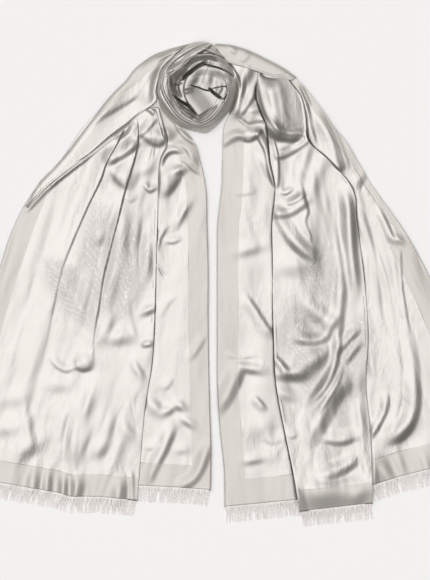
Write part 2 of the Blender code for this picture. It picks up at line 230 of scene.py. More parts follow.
def slide(value: np.ndarray, soft: float = 0.3) -> np.ndarray:
    """Even fall from 1 to 0, rounded at both ends.

    Args:
        value: place on the fall, 0 at its start and 1 at its end.
        soft: share of its length that is rounded at each end.

    Returns:
        What is left of 1 at those places.
    """
    t = np.clip(value, 0.0, 1.0)
    far = 1.0 - t
    scale = 1.0 / (2.0 * soft * (1.0 - soft))
    middle = (t - 0.5 * soft) / (1.0 - soft)
    rise = np.where(t < soft, t * t * scale, np.where(far < soft, 1.0 - far * far * scale, middle))
    return 1.0 - rise


def hem_down(name: str, across: np.ndarray) -> np.ndarray:
    """Distance down of a hem, in steps, at places across."""
    table = np.array(HEMS[name])
    return np.interp(across, table[:, 0], table[:, 1])


def coil_radius(angle: np.ndarray) -> np.ndarray:
    """Outer radius of the neck coil, in steps, at angles in degrees."""
    return smooth_table(COIL_OUTLINE, 1, SEAM_ANGLE + np.mod(angle - SEAM_ANGLE, 360.0))


def cover(across: np.ndarray, down: np.ndarray, rows: np.ndarray, sides: tuple,
          ends: tuple) -> np.ndarray:
    """How fully one stretch of cloth lies under a place.

    Args:
        across: places across, in steps.
        down: places down, in steps.
        rows: table of the stretch's sides.
        sides: columns of its left and right side.
        ends: its upper and lower end, in steps.

    Returns:
        Share from 0, well clear of the stretch, to 1.
    """
    left, right = (smooth_table(rows, column, down) for column in sides)
    clear = np.maximum.reduce([left - across, across - right, ends[0] - down, down - ends[1]])
    return ease(1.0 - (clear * MM_PER_STEP - LAYER_MARGIN) / LAYER_RAMP)


def beside_coil(across: np.ndarray, down: np.ndarray) -> np.ndarray:
    """Share of the relief that is left beside the neck coil.

    Args:
        across: places across, in steps.
        down: places down, in steps.

    Returns:
        Share from 0, under the coil, to 1, clear of it.
    """
    right, up = across - COIL_CENTRE[0], COIL_CENTRE[1] - down
    away = np.hypot(right, up) - coil_radius(np.degrees(np.arctan2(up, right)))
    return ease((away * MM_PER_STEP + COIL_CLEARANCE) / COIL_FADE)


class Layer(Enum):
    """Panels that other pieces lie on."""

    LEFT_INNER = "left_inner"
    LEFT_OUTER = "left_outer"
    RIGHT_SIDES = "right_sides"
    RIGHT_MIDDLE = "right_middle"

    def share(self, across: np.ndarray, down: np.ndarray) -> np.ndarray:
        """How fully this layer lies under a place, from 0 to 1."""
        return np.maximum.reduce([cover(across, down, *stretch) for stretch in COVERS[self.value]])


def stacked(layers: tuple, across: np.ndarray, down: np.ndarray) -> np.ndarray:
    """Height, in millimetres, of the underside of cloth that lies on some layers."""
    lifts = (LAYER_PITCH * layer.share(across, down) for layer in layers)
    return sum(lifts, np.full(across.shape, FLOOR_LIFT))


def relief_of(shapes: tuple, across: np.ndarray, down: np.ndarray) -> np.ndarray:
    """Height, in millimetres, that folds, patches and waves add together."""
    return sum((shape.lift(across, down) for shape in shapes), np.zeros_like(across))


@dataclass(frozen=True)
class Crease:
    """A soft fold with one steep and one gentle side.

    The path, in steps, is the middle of the steep side, which goes down to the right hand
    of someone who walks along it on the plan. Widths and height are in millimetres. Start
    and end are the shares of the path over which the fold fades in and out.
    """

    path: tuple
    steep: float
    gentle: float
    height: float
    start: float = 0.25
    end: float = 0.25

    def route(self) -> np.ndarray:
        """Draw the path as a smooth curve through its knots.

        Returns:
            Points of the curve, in steps.
        """
        table = np.column_stack([np.arange(len(self.path)), np.array(self.path, dtype=float)])
        last = len(self.path) - 1
        amount = np.linspace(0.0, float(last), KNOT_SAMPLES * last + 1)
        return np.column_stack([smooth_table(table, i, amount) for i in (1, 2)])

    def lift(self, across: np.ndarray, down: np.ndarray) -> np.ndarray:
        """Height that the crease adds to the plan.

        Args:
            across: places across, in steps.
            down: places down, in steps.

        Returns:
            The height in millimetres.
        """
        line = self.route()
        reach = 1.05 * (self.steep + self.gentle) / MM_PER_STEP
        low, high = line.min(axis=0) - reach, line.max(axis=0) + reach
        near = (across > low[0]) & (across < high[0]) & (down > low[1]) & (down < high[1])
        result = np.zeros_like(across)
        if near.any():
            result[near] = self.profile(*self.nearest(line, across[near], down[near]))
        return result

    @staticmethod
    def nearest(line: np.ndarray, x: np.ndarray, y: np.ndarray) -> tuple:
        """Find the nearest place of a line.

        Args:
            line: points of the line, in steps.
            x: places across, in steps.
            y: places down, in steps.

        Returns:
            Distance to the side, positive on the right hand, distance along, and the
            line's whole length, in steps.
        """
        best = np.full(x.shape, FAR)
        side, along = np.ones_like(x), np.zeros_like(x)
        steps = np.diff(line, axis=0)
        lengths = np.maximum(np.linalg.norm(steps, axis=1), TINY)
        run = 0.0
        last = len(steps) - 1
        for i, (start, step, length) in enumerate(zip(line[:-1], steps, lengths)):
            ahead = step / length
            raw = (x - start[0]) * ahead[0] + (y - start[1]) * ahead[1]
            s = np.clip(raw, -FAR if i == 0 else 0.0, FAR if i == last else length)
            aside, below = x - start[0] - s * ahead[0], y - start[1] - s * ahead[1]
            distance = np.hypot(aside, below)
            beyond = np.zeros_like(raw)
            if i == 0:
                beyond = np.maximum(beyond, -raw)
            if i == last:
                beyond = np.maximum(beyond, raw - length)
            weighed = np.hypot(distance, 0.8 * beyond)
            closer = weighed < best
            best = np.where(closer, weighed, best)
            hand = np.sign(ahead[0] * below - ahead[1] * aside)
            side = np.where(closer, hand * distance, side)
            along = np.where(closer, run + s, along)
            run += length
        return side, along, lengths.sum()

    def profile(self, side: np.ndarray, along: np.ndarray, total: float) -> np.ndarray:
        """Form of the crease.

        Args:
            side: distance to the right of the path, in steps.
            along: distance along the path, in steps.
            total: the path's length, in steps.

        Returns:
            The height in millimetres.
        """
        away = side * MM_PER_STEP + 0.5 * self.steep
        fall = np.where(away > 0, slide(away / self.steep), slide(-away / self.gentle))
        spill = min(1.3 * self.steep / MM_PER_STEP, 0.35 * total)
        first = ease((along + spill) / (spill + self.start * total + TINY))
        last = ease((total + spill - along) / (spill + self.end * total + TINY))
        return self.height * fall * first * last


@dataclass(frozen=True)
class Sag:
    """A soft patch of cloth that leans down across its long axis.

    The middle and the two half lengths are in steps, the turn of the long axis in degrees from
    the right; at 0 the patch leans down the plan, at 90 to the right.
    """

    middle: tuple
    reach: tuple
    turn: float
    slope: float

    def lift(self, across: np.ndarray, down: np.ndarray) -> np.ndarray:
        """Height that the patch adds to the plan.

        Args:
            across: places across, in steps.
            down: places down, in steps.

        Returns:
            The height in millimetres.
        """
        right, up = across - self.middle[0], self.middle[1] - down
        turn = math.radians(self.turn)
        along = (right * math.cos(turn) + up * math.sin(turn)) / self.reach[0]
        aside = (up * math.cos(turn) - right * math.sin(turn)) / self.reach[1]
        breadth = self.reach[1] * MM_PER_STEP
        return self.slope * breadth * (aside + 0.38) * np.exp(-along * along - aside * aside)


@dataclass(frozen=True)
class Drape:
    """Soft unevenness of a laid cloth: long low waves that wander.

    The height is in millimetres, and breadth and length of the waves are in steps.
    """

    seed: int
    height: float
    breadth: float
    length: float
    lean: float
    # Frequency and strength of each set of waves
    octaves: tuple = ((1.0, 1.0), (2.1, 0.42), (4.3, 0.14))

    def lift(self, across: np.ndarray, down: np.ndarray) -> np.ndarray:
        """Height that the waves add to the plan.

        Args:
            across: places across, in steps.
            down: places down, in steps.

        Returns:
            The height in millimetres.
        """
        random = np.random.default_rng(self.seed)
        total = np.zeros_like(across)
        strength = 0.35 + 1.1 * self.noise(random, across / 60.0 + 9.0, down / 90.0 + 5.0)
        for octave, share in self.octaves:
            u = (across + self.lean * down) / self.breadth * octave + 20.0
            v = down / self.length * octave + 8.0
            bend = 0.7 * self.noise(random, u * 0.45, v * 1.3)
            total = total + share * (2.0 * self.noise(random, u + bend, v) - 1.0)
        return self.height * (total * strength + 1.2)

    @staticmethod
    def noise(random: np.random.Generator, u: np.ndarray, v: np.ndarray) -> np.ndarray:
        """Smooth uneven values.

        Args:
            random: source of the values.
            u: places one way, one value to a unit.
            v: places the other way.

        Returns:
            Values from 0 to 1.
        """
        grid = random.uniform(0.0, 1.0, (64, 64))
        i, j = np.floor(u).astype(int) % 63, np.floor(v).astype(int) % 63
        s, t = ease(u - np.floor(u)), ease(v - np.floor(v))
        upper = grid[i, j] * (1 - s) + grid[i + 1, j] * s
        lower = grid[i, j + 1] * (1 - s) + grid[i + 1, j + 1] * s
        return upper * (1 - t) + lower * t


def add_node(tree: bpy.types.NodeTree, kind: str, settings: dict, values: dict,
             output: object = 0) -> "Socket":
    """Add a node to a tree.

    Args:
        tree: the tree.
        kind: the node's type.
        settings: properties that are set first.
        values: names or numbers of inputs, with numbers, colours or sockets.
        output: name or number of the output that is returned.

    Returns:
        The output, for use in expressions.
    """
    node = tree.nodes.new(kind)
    for name, value in settings.items():
        setattr(node, name, value)
    for name, value in values.items():
        if isinstance(value, Socket):
            tree.links.new(value.socket, node.inputs[name])
        elif value is not None:
            node.inputs[name].default_value = value
    return Socket(tree, node.outputs[output])


class Socket:
    """A value in a material, used in plain expressions."""

    def __init__(self, tree: bpy.types.NodeTree, socket: bpy.types.NodeSocket) -> None:
        """Wrap an output socket of a node tree."""
        self.tree = tree
        self.socket = socket

    def _math(self, operation: str, first: object, second: object = None) -> "Socket":
        """Result of a Math node."""
        return add_node(self.tree, "ShaderNodeMath", {"operation": operation}, {0: first, 1: second})

    def __add__(self, other: object) -> "Socket":
        """Sum."""
        return self._math("ADD", self, other)

    def __radd__(self, other: object) -> "Socket":
        """Sum, from the right."""
        return self._math("ADD", other, self)

    def __sub__(self, other: object) -> "Socket":
        """Difference."""
        return self._math("SUBTRACT", self, other)

    def __rsub__(self, other: object) -> "Socket":
        """Difference, from the right."""
        return self._math("SUBTRACT", other, self)

    def __mul__(self, other: object) -> "Socket":
        """Product."""
        return self._math("MULTIPLY", self, other)

    def __rmul__(self, other: object) -> "Socket":
        """Product, from the right."""
        return self._math("MULTIPLY", other, self)

    def least(self, other: object) -> "Socket":
        """The smaller of two values."""
        return self._math("MINIMUM", self, other)

    def most(self, other: object) -> "Socket":
        """The larger of two values."""
        return self._math("MAXIMUM", self, other)

    def size(self) -> "Socket":
        """Value without its sign."""
        return self._math("ABSOLUTE", self)

    def wave(self) -> "Socket":
        """Sine."""
        return self._math("SINE", self)

    def between(self, low: float, high: float) -> "Socket":
        """Smooth mask that is 0 at low and 1 at high."""
        values = {"Value": self, "From Min": low, "From Max": high}
        return add_node(self.tree, "ShaderNodeMapRange", {"interpolation_type": "SMOOTHSTEP"}, values,
                        "Result")


class Weaver:
    """Node tree of one finish."""

    def __init__(self, name: str) -> None:
        """Start a material with a Principled shader."""
        self.material = bpy.data.materials.new(name)
        self.material.use_nodes = True
        self.tree = self.material.node_tree
        self.shader = self.tree.nodes["Principled BSDF"]

    def place(self) -> Socket:
        """Place in the object, in metres."""
        return add_node(self.tree, "ShaderNodeTexCoord", {}, {}, "Object")

    def noise(self, scale: float, detail: float, place: Socket = None, **more: float) -> Socket:
        """Uneven values from 0 to 1."""
        values = {"Scale": scale, "Detail": detail, "Vector": place, **more}
        return add_node(self.tree, "ShaderNodeTexNoise", {}, values, "Fac")

    def split(self, vector: Socket) -> list:
        """The three parts of a vector."""
        parts = add_node(self.tree, "ShaderNodeSeparateXYZ", {}, {"Vector": vector})
        return [Socket(self.tree, output) for output in parts.socket.node.outputs]

    def blend(self, share: Socket, first: object, second: tuple) -> Socket:
        """Mix two colours.

        Args:
            share: share of the second colour.
            first: colour or socket at 0.
            second: colour at 1.

        Returns:
            The mixed colour.
        """
        if isinstance(first, tuple):
            first = (*first, 1.0)
        values = {0: share, 6: first, 7: (*second, 1.0)}
        return add_node(self.tree, "ShaderNodeMix", {"data_type": "RGBA"}, values, 2)

    def feed(self, name: str, value: object) -> None:
        """Give the shader a value.

        Args:
            name: the shader's input.
            value: a number, a colour or a socket.
        """
        if isinstance(value, Socket):
            self.tree.links.new(value.socket, self.shader.inputs[name])
        elif isinstance(value, tuple):
            self.shader.inputs[name].default_value = (*value, 1.0)
        else:
            self.shader.inputs[name].default_value = value

    def raise_surface(self, height: Socket, depth: float) -> None:
        """Bump the surface by a height, its full depth in metres."""
        values = {"Height": height, "Distance": depth, "Strength": 1.0}
        self.feed("Normal", add_node(self.tree, "ShaderNodeBump", {}, values))


@dataclass(frozen=True)
class Plume:
    """A generic feather of tonal weave, placed on the plan in metres."""

    root: tuple
    heading: float
    length: float
    spread: float
    bend: float


@dataclass(frozen=True)
class ClothFinish:
    """Satin field with a matt woven border along its selvedges and hems."""

    name: str
    satin: tuple = (0.500, 0.479, 0.456)
    border: tuple = (0.546, 0.522, 0.491)
    cloud: tuple = (0.55, 0.53, 0.50)
    stitches: tuple = (0.25, 0.22, 0.19)
    plume_ground: tuple = (0.31, 0.297, 0.281)
    plume_lines: tuple = (0.66, 0.64, 0.615)
    satin_gloss: float = 0.32
    border_gloss: float = 0.43
    satin_shine: float = 0.87
    border_shine: float = 0.60
    # Waves to a metre of the border's ribs and of the twill, and the reach of the hem stitches
    ribs: float = 4200.0
    twill: float = 5200.0
    stitch_reach: tuple = (0.0018, 0.0036)
    # Turns of the plumes' barbs to a metre, along the stem and away from it
    barbs: tuple = (430.0, 640.0)
    # Depth of the crinkles beside that of a rib, and one unit of the relief in metres
    crinkle_depth: float = 215.0
    relief: float = 0.000006
    plumes: tuple = ()

    def draw_plumes(self, cloth: Weaver, x: Socket, y: Socket) -> tuple:
        """Woven ground and fine lines of every plume.

        Args:
            cloth: the finish's node tree.
            x: place across.
            y: place along.

        Returns:
            Masks of the ground and of the lines, 0 to 1.
        """
        ground = lines = None
        ruffle = cloth.noise(30.0, 3.0)
        for plume in self.plumes:
            turn = math.radians(plume.heading)
            right, up = x - plume.root[0], y - plume.root[1]
            along = right * (math.cos(turn) / plume.length) + up * (math.sin(turn) / plume.length)
            aside = up * math.cos(turn) - right * math.sin(turn)
            aside = aside - along * along * plume.bend + (ruffle - 0.5) * 0.03
            away = aside.size()
            width = (along.between(0.0, 0.45) - along.between(0.62, 1.04)) * plume.spread
            width = width * (ruffle * 0.9 + 0.55)
            inside = (width - away).between(0.0, plume.spread * 0.7)
            barb = (along * (plume.length * self.barbs[0]) - away * self.barbs[1] + ruffle * 34.0).wave()
            barb = barb.between(0.62, 1.0) * inside
            stem = (1.0 - away.between(0.0005, 0.0014)) * along.between(0.0, 0.03)
            stem = stem * (1.0 - along.between(0.93, 1.0))
            drawn = (barb * 0.8).most(stem)
            ground = inside if ground is None else ground.most(inside)
            lines = drawn if lines is None else lines.most(drawn)
        return ground, lines

    def crinkles(self, cloth: Weaver, place: Socket, cloudy: Socket) -> Socket:
        """Fine crinkles of the satin, stronger in some stretches.

        Args:
            cloth: the finish's node tree.
            place: place in the object.
            cloudy: large uneven values.

        Returns:
            Their height, about 0 to 1.
        """
        drawn_out = {"Vector": place, "Scale": (1.0, 0.36, 1.0)}
        vector = add_node(cloth.tree, "ShaderNodeMapping", {}, drawn_out, "Vector")
        fine = cloth.noise(72.0, 3.0, vector, Roughness=0.62, Distortion=0.5)
        return fine * (cloudy.between(0.43, 0.65) * 0.85 + 0.15)

    def make(self) -> bpy.types.Material:
        """Build the material.

        Returns:
            The material.
        """
        cloth = Weaver(self.name)
        side, hem, _ = cloth.split(
            add_node(cloth.tree, "ShaderNodeUVMap", {"uv_map": "cloth"}, {}, "UV"))
        low, high = BORDER_WIDTH - BORDER_EDGE, BORDER_WIDTH + BORDER_EDGE
        in_border = 1.0 - side.least(hem).between(low, high)
        stitch = 1.0 - hem.size().between(*self.stitch_reach)
        place = cloth.place()
        x, y, _ = cloth.split(place)
        cloudy = cloth.noise(9.0, 3.0, place)
        slub = cloth.noise(900.0, 1.0, place)
        base = cloth.blend(in_border, self.satin, self.border)
        haze = (cloudy - 0.5) * 0.10 + (slub - 0.5) * 0.05 * in_border + 0.03
        base = cloth.blend(haze, base, self.cloud)
        roughness = in_border * (self.border_gloss - self.satin_gloss) + self.satin_gloss
        metallic = in_border * (self.border_shine - self.satin_shine) + self.satin_shine
        ribs = ((x + y * 0.25) * self.ribs).wave()
        twill = ((x - y) * self.twill).wave()
        crinkles = self.crinkles(cloth, place, cloudy) * (1.0 - in_border * 0.6)
        height = twill * 0.2 + (ribs * 0.9 + slub) * in_border + crinkles * self.crinkle_depth
        ground, lines = self.draw_plumes(cloth, x, y)
        if ground is not None:
            ground = ground * (1.0 - in_border)
            lines = lines * (1.0 - in_border)
            base = cloth.blend(ground * 0.34, base, self.plume_ground)
            base = cloth.blend(lines * 0.55, base, self.plume_lines)
            roughness = roughness + ground * 0.07
            height = height + lines * 5.0
        cloth.feed("Base Color", cloth.blend(stitch * 0.75, base, self.stitches))
        cloth.feed("Roughness", roughness + (slub - 0.5) * 0.05)
        cloth.feed("Metallic", metallic)
        cloth.feed("Sheen Weight", 0.08)
        cloth.feed("Sheen Roughness", 0.4)
        cloth.raise_surface(height, self.relief)
        return cloth.material


@dataclass(frozen=True)
class YarnFinish:
    """Loose matt yarn of the fringes, brightened by a painted glow."""

    name: str = "fringe_yarn"
    colour: tuple = (1.0, 0.952, 0.93)
    # Strength of an emission in the yarn's own colour: painted light that brightens the fringe
    painted_glow: float = 0.07
    shade: tuple = (0.66, 0.605, 0.58)
    relief: float = 0.00004

    def make(self) -> bpy.types.Material:
        """Build the material.

        Returns:
            The material.
        """
        yarn = Weaver(self.name)
        slub = yarn.noise(260.0, 2.0, yarn.place())
        yarn.feed("Base Color", yarn.blend((slub - 0.3) * 0.3, self.colour, self.shade))
        yarn.feed("Roughness", 0.75)
        yarn.feed("Sheen Weight", 0.25)
        # Painted light: the yarn glows faintly in its own colour
        yarn.feed("Emission Color", self.colour)
        yarn.feed("Emission Strength", self.painted_glow)
        yarn.raise_surface(slub, self.relief)
        return yarn.material


def to_frame(across: np.ndarray, down: np.ndarray, height: np.ndarray) -> np.ndarray:
    """Points of the plan, heights in millimetres, as points of the frame in metres."""
    places = ((across - PLAN_MIDDLE_ACROSS) * STEP, (PLAN_MIDDLE_DOWN - down) * STEP)
    return np.stack([*places, height * MILLIMETRE], axis=-1)


def add_piece(name: str, data: bpy.types.ID) -> bpy.types.Object:
    """Put an object into the scene.

    Args:
        name: the object's name.
        data: its mesh or camera.

    Returns:
        The object.
    """
    piece = bpy.data.objects.new(name, data)
    bpy.context.scene.collection.objects.link(piece)
    return piece


def past_border(distance: np.ndarray) -> np.ndarray:
    """Border values of cloth whose border ends on a line.

    Args:
        distance: distance past that line, in millimetres.

    Returns:
        Distances from the selvedge and from the hem, in metres.
    """
    side = np.maximum(BORDER_WIDTH + distance * MILLIMETRE, LEAST_DISTANCE)
    return np.stack([side, np.ones_like(side)], axis=-1)


class SheetMesh:
    """A grid of points made into a thin cloth."""

    def __init__(self, name: str, points: np.ndarray, cloth_uv: np.ndarray,
                 finish: bpy.types.Material) -> None:
        """Make the mesh.

        Args:
            name: the piece's name.
            points: grid of points, rows by columns by 3, in metres.
            cloth_uv: distances from the selvedge and from the hem, in metres.
            finish: the cloth's material.
        """
        self.measure(points)
        rows, columns = points.shape[:2]
        index = np.arange(rows * columns).reshape(rows, columns)
        quads = np.stack([index[:-1, :-1], index[1:, :-1], index[1:, 1:], index[:-1, 1:]], axis=-1)
        mesh = bpy.data.meshes.new(name)
        mesh.from_pydata(points.reshape(-1, 3).tolist(), [], quads.reshape(-1, 4).tolist())
        layer = mesh.uv_layers.new(name="cloth")
        loops = np.empty(len(mesh.loops), dtype=np.int32)
        mesh.loops.foreach_get("vertex_index", loops)
        layer.data.foreach_set("uv", cloth_uv.reshape(-1, 2)[loops].astype(np.float32).ravel())
        mesh.shade_smooth()
        mesh.materials.append(finish)
        self.piece = add_piece(name, mesh)
        self.thicken()

    def measure(self, points: np.ndarray) -> None:
        """Measure the cut of the cloth along its own threads: width, length and area.

        Args:
            points: grid of points in metres.
        """
        across, along = (np.linalg.norm(np.diff(points, axis=axis), axis=2) for axis in (1, 0))
        self.cut = (float(across.sum(axis=1).max()), float(along.sum(axis=0).max()))
        a, b, c, d = points[:-1, :-1], points[:-1, 1:], points[1:, :-1], points[1:, 1:]
        halves = (np.cross(b - a, c - a), np.cross(c - d, b - d))
        self.area = 0.5 * float(sum(np.linalg.norm(half, axis=2).sum() for half in halves))

    def lay(self, slot: str, nodes: tuple, rests_on: list, with_pieces: list) -> None:
        """Let the cloth ride on the stole.

        Args:
            slot: finish slot of the part; not used.
            nodes: CAD nodes that the cloth stands for.
            rests_on: nodes or pieces below; not used.
            with_pieces: pieces that belong to the same cloth; not used.
        """
        dress(self.piece, slot, *nodes)
        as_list(rests_on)

    def thicken(self) -> None:
        """Give the cloth its thickness below its upper face."""
        solid = self.piece.modifiers.new("cloth", "SOLIDIFY")
        solid.thickness = CLOTH * MILLIMETRE
        solid.offset = -1.0
        solid.use_even_offset = False


@dataclass
class Panel:
    """One stretch of an end of the stole.

    The sides are columns of the rows. For the left and the right side, "folded" says whether
    it rolls under and "selvedge" whether it is a woven edge. "hidden" has the column of an
    upper panel's edge, with 1 if that panel lies to the right of it and -1 if to the left.
    """

    name: str
    node: str
    rows: np.ndarray
    sides: tuple
    hem: str
    top: float
    creases: tuple
    drape: Drape
    finish: bpy.types.Material
    # Width of the border beside the usual one, along the selvedge and along the hem
    border_shares: tuple
    # Line that the selvedge's border follows, where it isn't the side: down and across
    border_line: tuple = ()
    layers: tuple = ()
    folded: tuple = (False, False)
    selvedge: tuple = (False, False)
    hidden: tuple = ()
    shoulder: tuple = ()
    sheet: SheetMesh = None

    def height(self, across: np.ndarray, down: np.ndarray) -> np.ndarray:
        """Height of the panel's upper face without its fold edges.

        Args:
            across: places across, in steps.
            down: places down, in steps.

        Returns:
            The height in millimetres.
        """
        relief = relief_of((*self.creases, self.drape), across, down) * beside_coil(across, down)
        for column, way in self.hidden:
            inside = way * (across - smooth_table(self.rows, column, down)) * MM_PER_STEP
            relief = relief * ease((COVERED_REACH - inside) / COVERED_FADE)
        if self.shoulder:
            edge = np.array(self.shoulder)[::-1]
            inside = (np.interp(across, edge[:, 2], edge[:, 3]) - down) * BAND_SLANT * MM_PER_STEP
            relief = relief * ease((BAND_REACH - inside) / COVERED_FADE)
        raised = 0.5 * (relief + np.sqrt(relief * relief + RELIEF_SOFTNESS))
        return stacked(self.layers, across, down) + raised

    def grid(self) -> tuple:
        """Set out the panel's grid between its sides, down to its hem.

        Returns:
            Places across and down, and the left and the right side, in steps.
        """
        first, last = self.sides
        width = np.max(self.rows[:, last] - self.rows[:, first]) * MM_PER_STEP
        length = (hem_down(self.hem, self.rows[-1, first]) - self.top) * MM_PER_STEP
        share = np.linspace(0.0, 1.0, int(width / GRID) + 1)[None, :]
        fall = np.linspace(0.0, 1.0, int(length / GRID) + 1)[:, None]
        down = self.top + fall * (hem_down(self.hem, 0.0) - self.top) + 0.0 * share
        for _ in range(GRID_ROUNDS):
            left, right = (smooth_table(self.rows, column, down) for column in self.sides)
            across = left + share * (right - left)
            down = self.top + fall * (hem_down(self.hem, across) - self.top)
        return across, down, left, right

    def border(self, across: np.ndarray, down: np.ndarray, left: np.ndarray,
               right: np.ndarray) -> np.ndarray:
        """Place of the panel's border.

        Args:
            across: places across, in steps.
            down: places down, in steps.
            left: the left side, in steps.
            right: the right side, in steps.

        Returns:
            Distances from the selvedge and from the hem, in metres.
        """
        if self.border_line:
            line = np.array(self.border_line)
            left = right = np.interp(down, line[:, 0], line[:, 1])
        edge = left if self.selvedge[0] else right
        slope = np.gradient(edge, axis=0) / np.maximum(np.gradient(down, axis=0), TINY)
        square = STEP / np.sqrt(1.0 + slope * slope) / self.border_shares[0]
        side = np.ones_like(across)
        if self.selvedge[0]:
            side = np.abs(across - left) * square
        if self.selvedge[1]:
            side = (right - across) * square
        hem = (hem_down(self.hem, across) - down) * STEP / self.border_shares[1]
        return np.stack([side, hem], axis=-1)

    def build(self) -> None:
        """Build the panel's cloth, its fold edges rolled under."""
        across, down, left, right = self.grid()
        height = self.height(across, down)
        for folded, distance in zip(self.folded, (across - left, right - across)):
            if folded:
                height = height + 2.0 * FOLD_ROLL * ease(1.0 - distance * MM_PER_STEP / FOLD_REACH)
        points = to_frame(across, down, height)
        cloth = self.border(across, down, left, right)
        for place, folded in zip((0, -1), self.folded):
            if folded:
                points, cloth = self.roll_under(points, cloth, place)
        self.sheet = SheetMesh(self.name, points, cloth, self.finish)

    @staticmethod
    def roll_under(points: np.ndarray, cloth: np.ndarray, place: int) -> tuple:
        """Add columns that turn a folded edge under the panel.

        Args:
            points: the panel's points.
            cloth: its distances from selvedge and hem.
            place: 0 for the left edge, -1 for the right edge.

        Returns:
            The longer grids of points and distances.
        """
        outwards = 1.0 if place == -1 else -1.0
        radius = FOLD_ROLL * MILLIMETRE
        turns = [math.radians(turn) for turn in ROLL_TURNS]
        moves = [(radius * math.sin(turn), -radius * (1.0 - math.cos(turn))) for turn in turns]
        moves += [(-run * MILLIMETRE, -2.0 * radius) for run in TUCK_RUN]
        edge = points[:, place]
        extra = np.stack([edge + np.array([outwards * out, 0.0, rise]) for out, rise in moves], axis=1)
        extra_cloth = np.repeat(cloth[:, place][:, None], extra.shape[1], axis=1)
        if place == -1:
            return np.concatenate([points, extra], axis=1), np.concatenate([cloth, extra_cloth], axis=1)
        extra, extra_cloth = extra[:, ::-1], extra_cloth[:, ::-1]
        return np.concatenate([extra, points], axis=1), np.concatenate([extra_cloth, cloth], axis=1)


def fold(path: tuple, width: float, slope: float, back: float = 3.5,
         start: float = 0.3, end: float = 0.3) -> Crease:
    """Soft fold whose steep side shows as a dark band.

    Args:
        path: middle of the band in steps; it goes down to the walker's right hand.
        width: width of the band in steps.
        slope: steepness of the band at its middle.
        back: width of the gentle side, in widths of the band.
        start: share of the path over which the fold fades in.
        end: share of the path over which it fades out.

    Returns:
        The crease.
    """
    steep = width * MM_PER_STEP
    return Crease(path, steep, back * steep, 0.64 * slope * steep, start, end)


def groove(path: tuple, width: float, slope: float, start: float = 0.3, end: float = 0.3) -> Crease:
    """Narrow trough, as wide in all as the width in steps."""
    half = 0.5 * width * MM_PER_STEP
    return Crease(path, half, half, -0.7 * slope * half, start, end)


def plan_point(across: float, down: float) -> tuple:
    """Place of the plan, in steps, as metres in the frame."""
    return ((across - PLAN_MIDDLE_ACROSS) * STEP, (PLAN_MIDDLE_DOWN - down) * STEP)


# Tonal plumes woven into the two fields
PLUMES = (
    Plume(plan_point(112, 352), 99.0, 0.30, 0.050, -0.02),
    Plume(plan_point(116, 352), 78.0, 0.27, 0.046, 0.02),
    Plume(plan_point(106, 352), 116.0, 0.22, 0.042, 0.03),
    Plume(plan_point(322, 446), 97.0, 0.30, 0.048, 0.02),
    Plume(plan_point(340, 440), 84.0, 0.26, 0.044, -0.03),
    Plume(plan_point(326, 330), 94.0, 0.21, 0.046, 0.02),
)

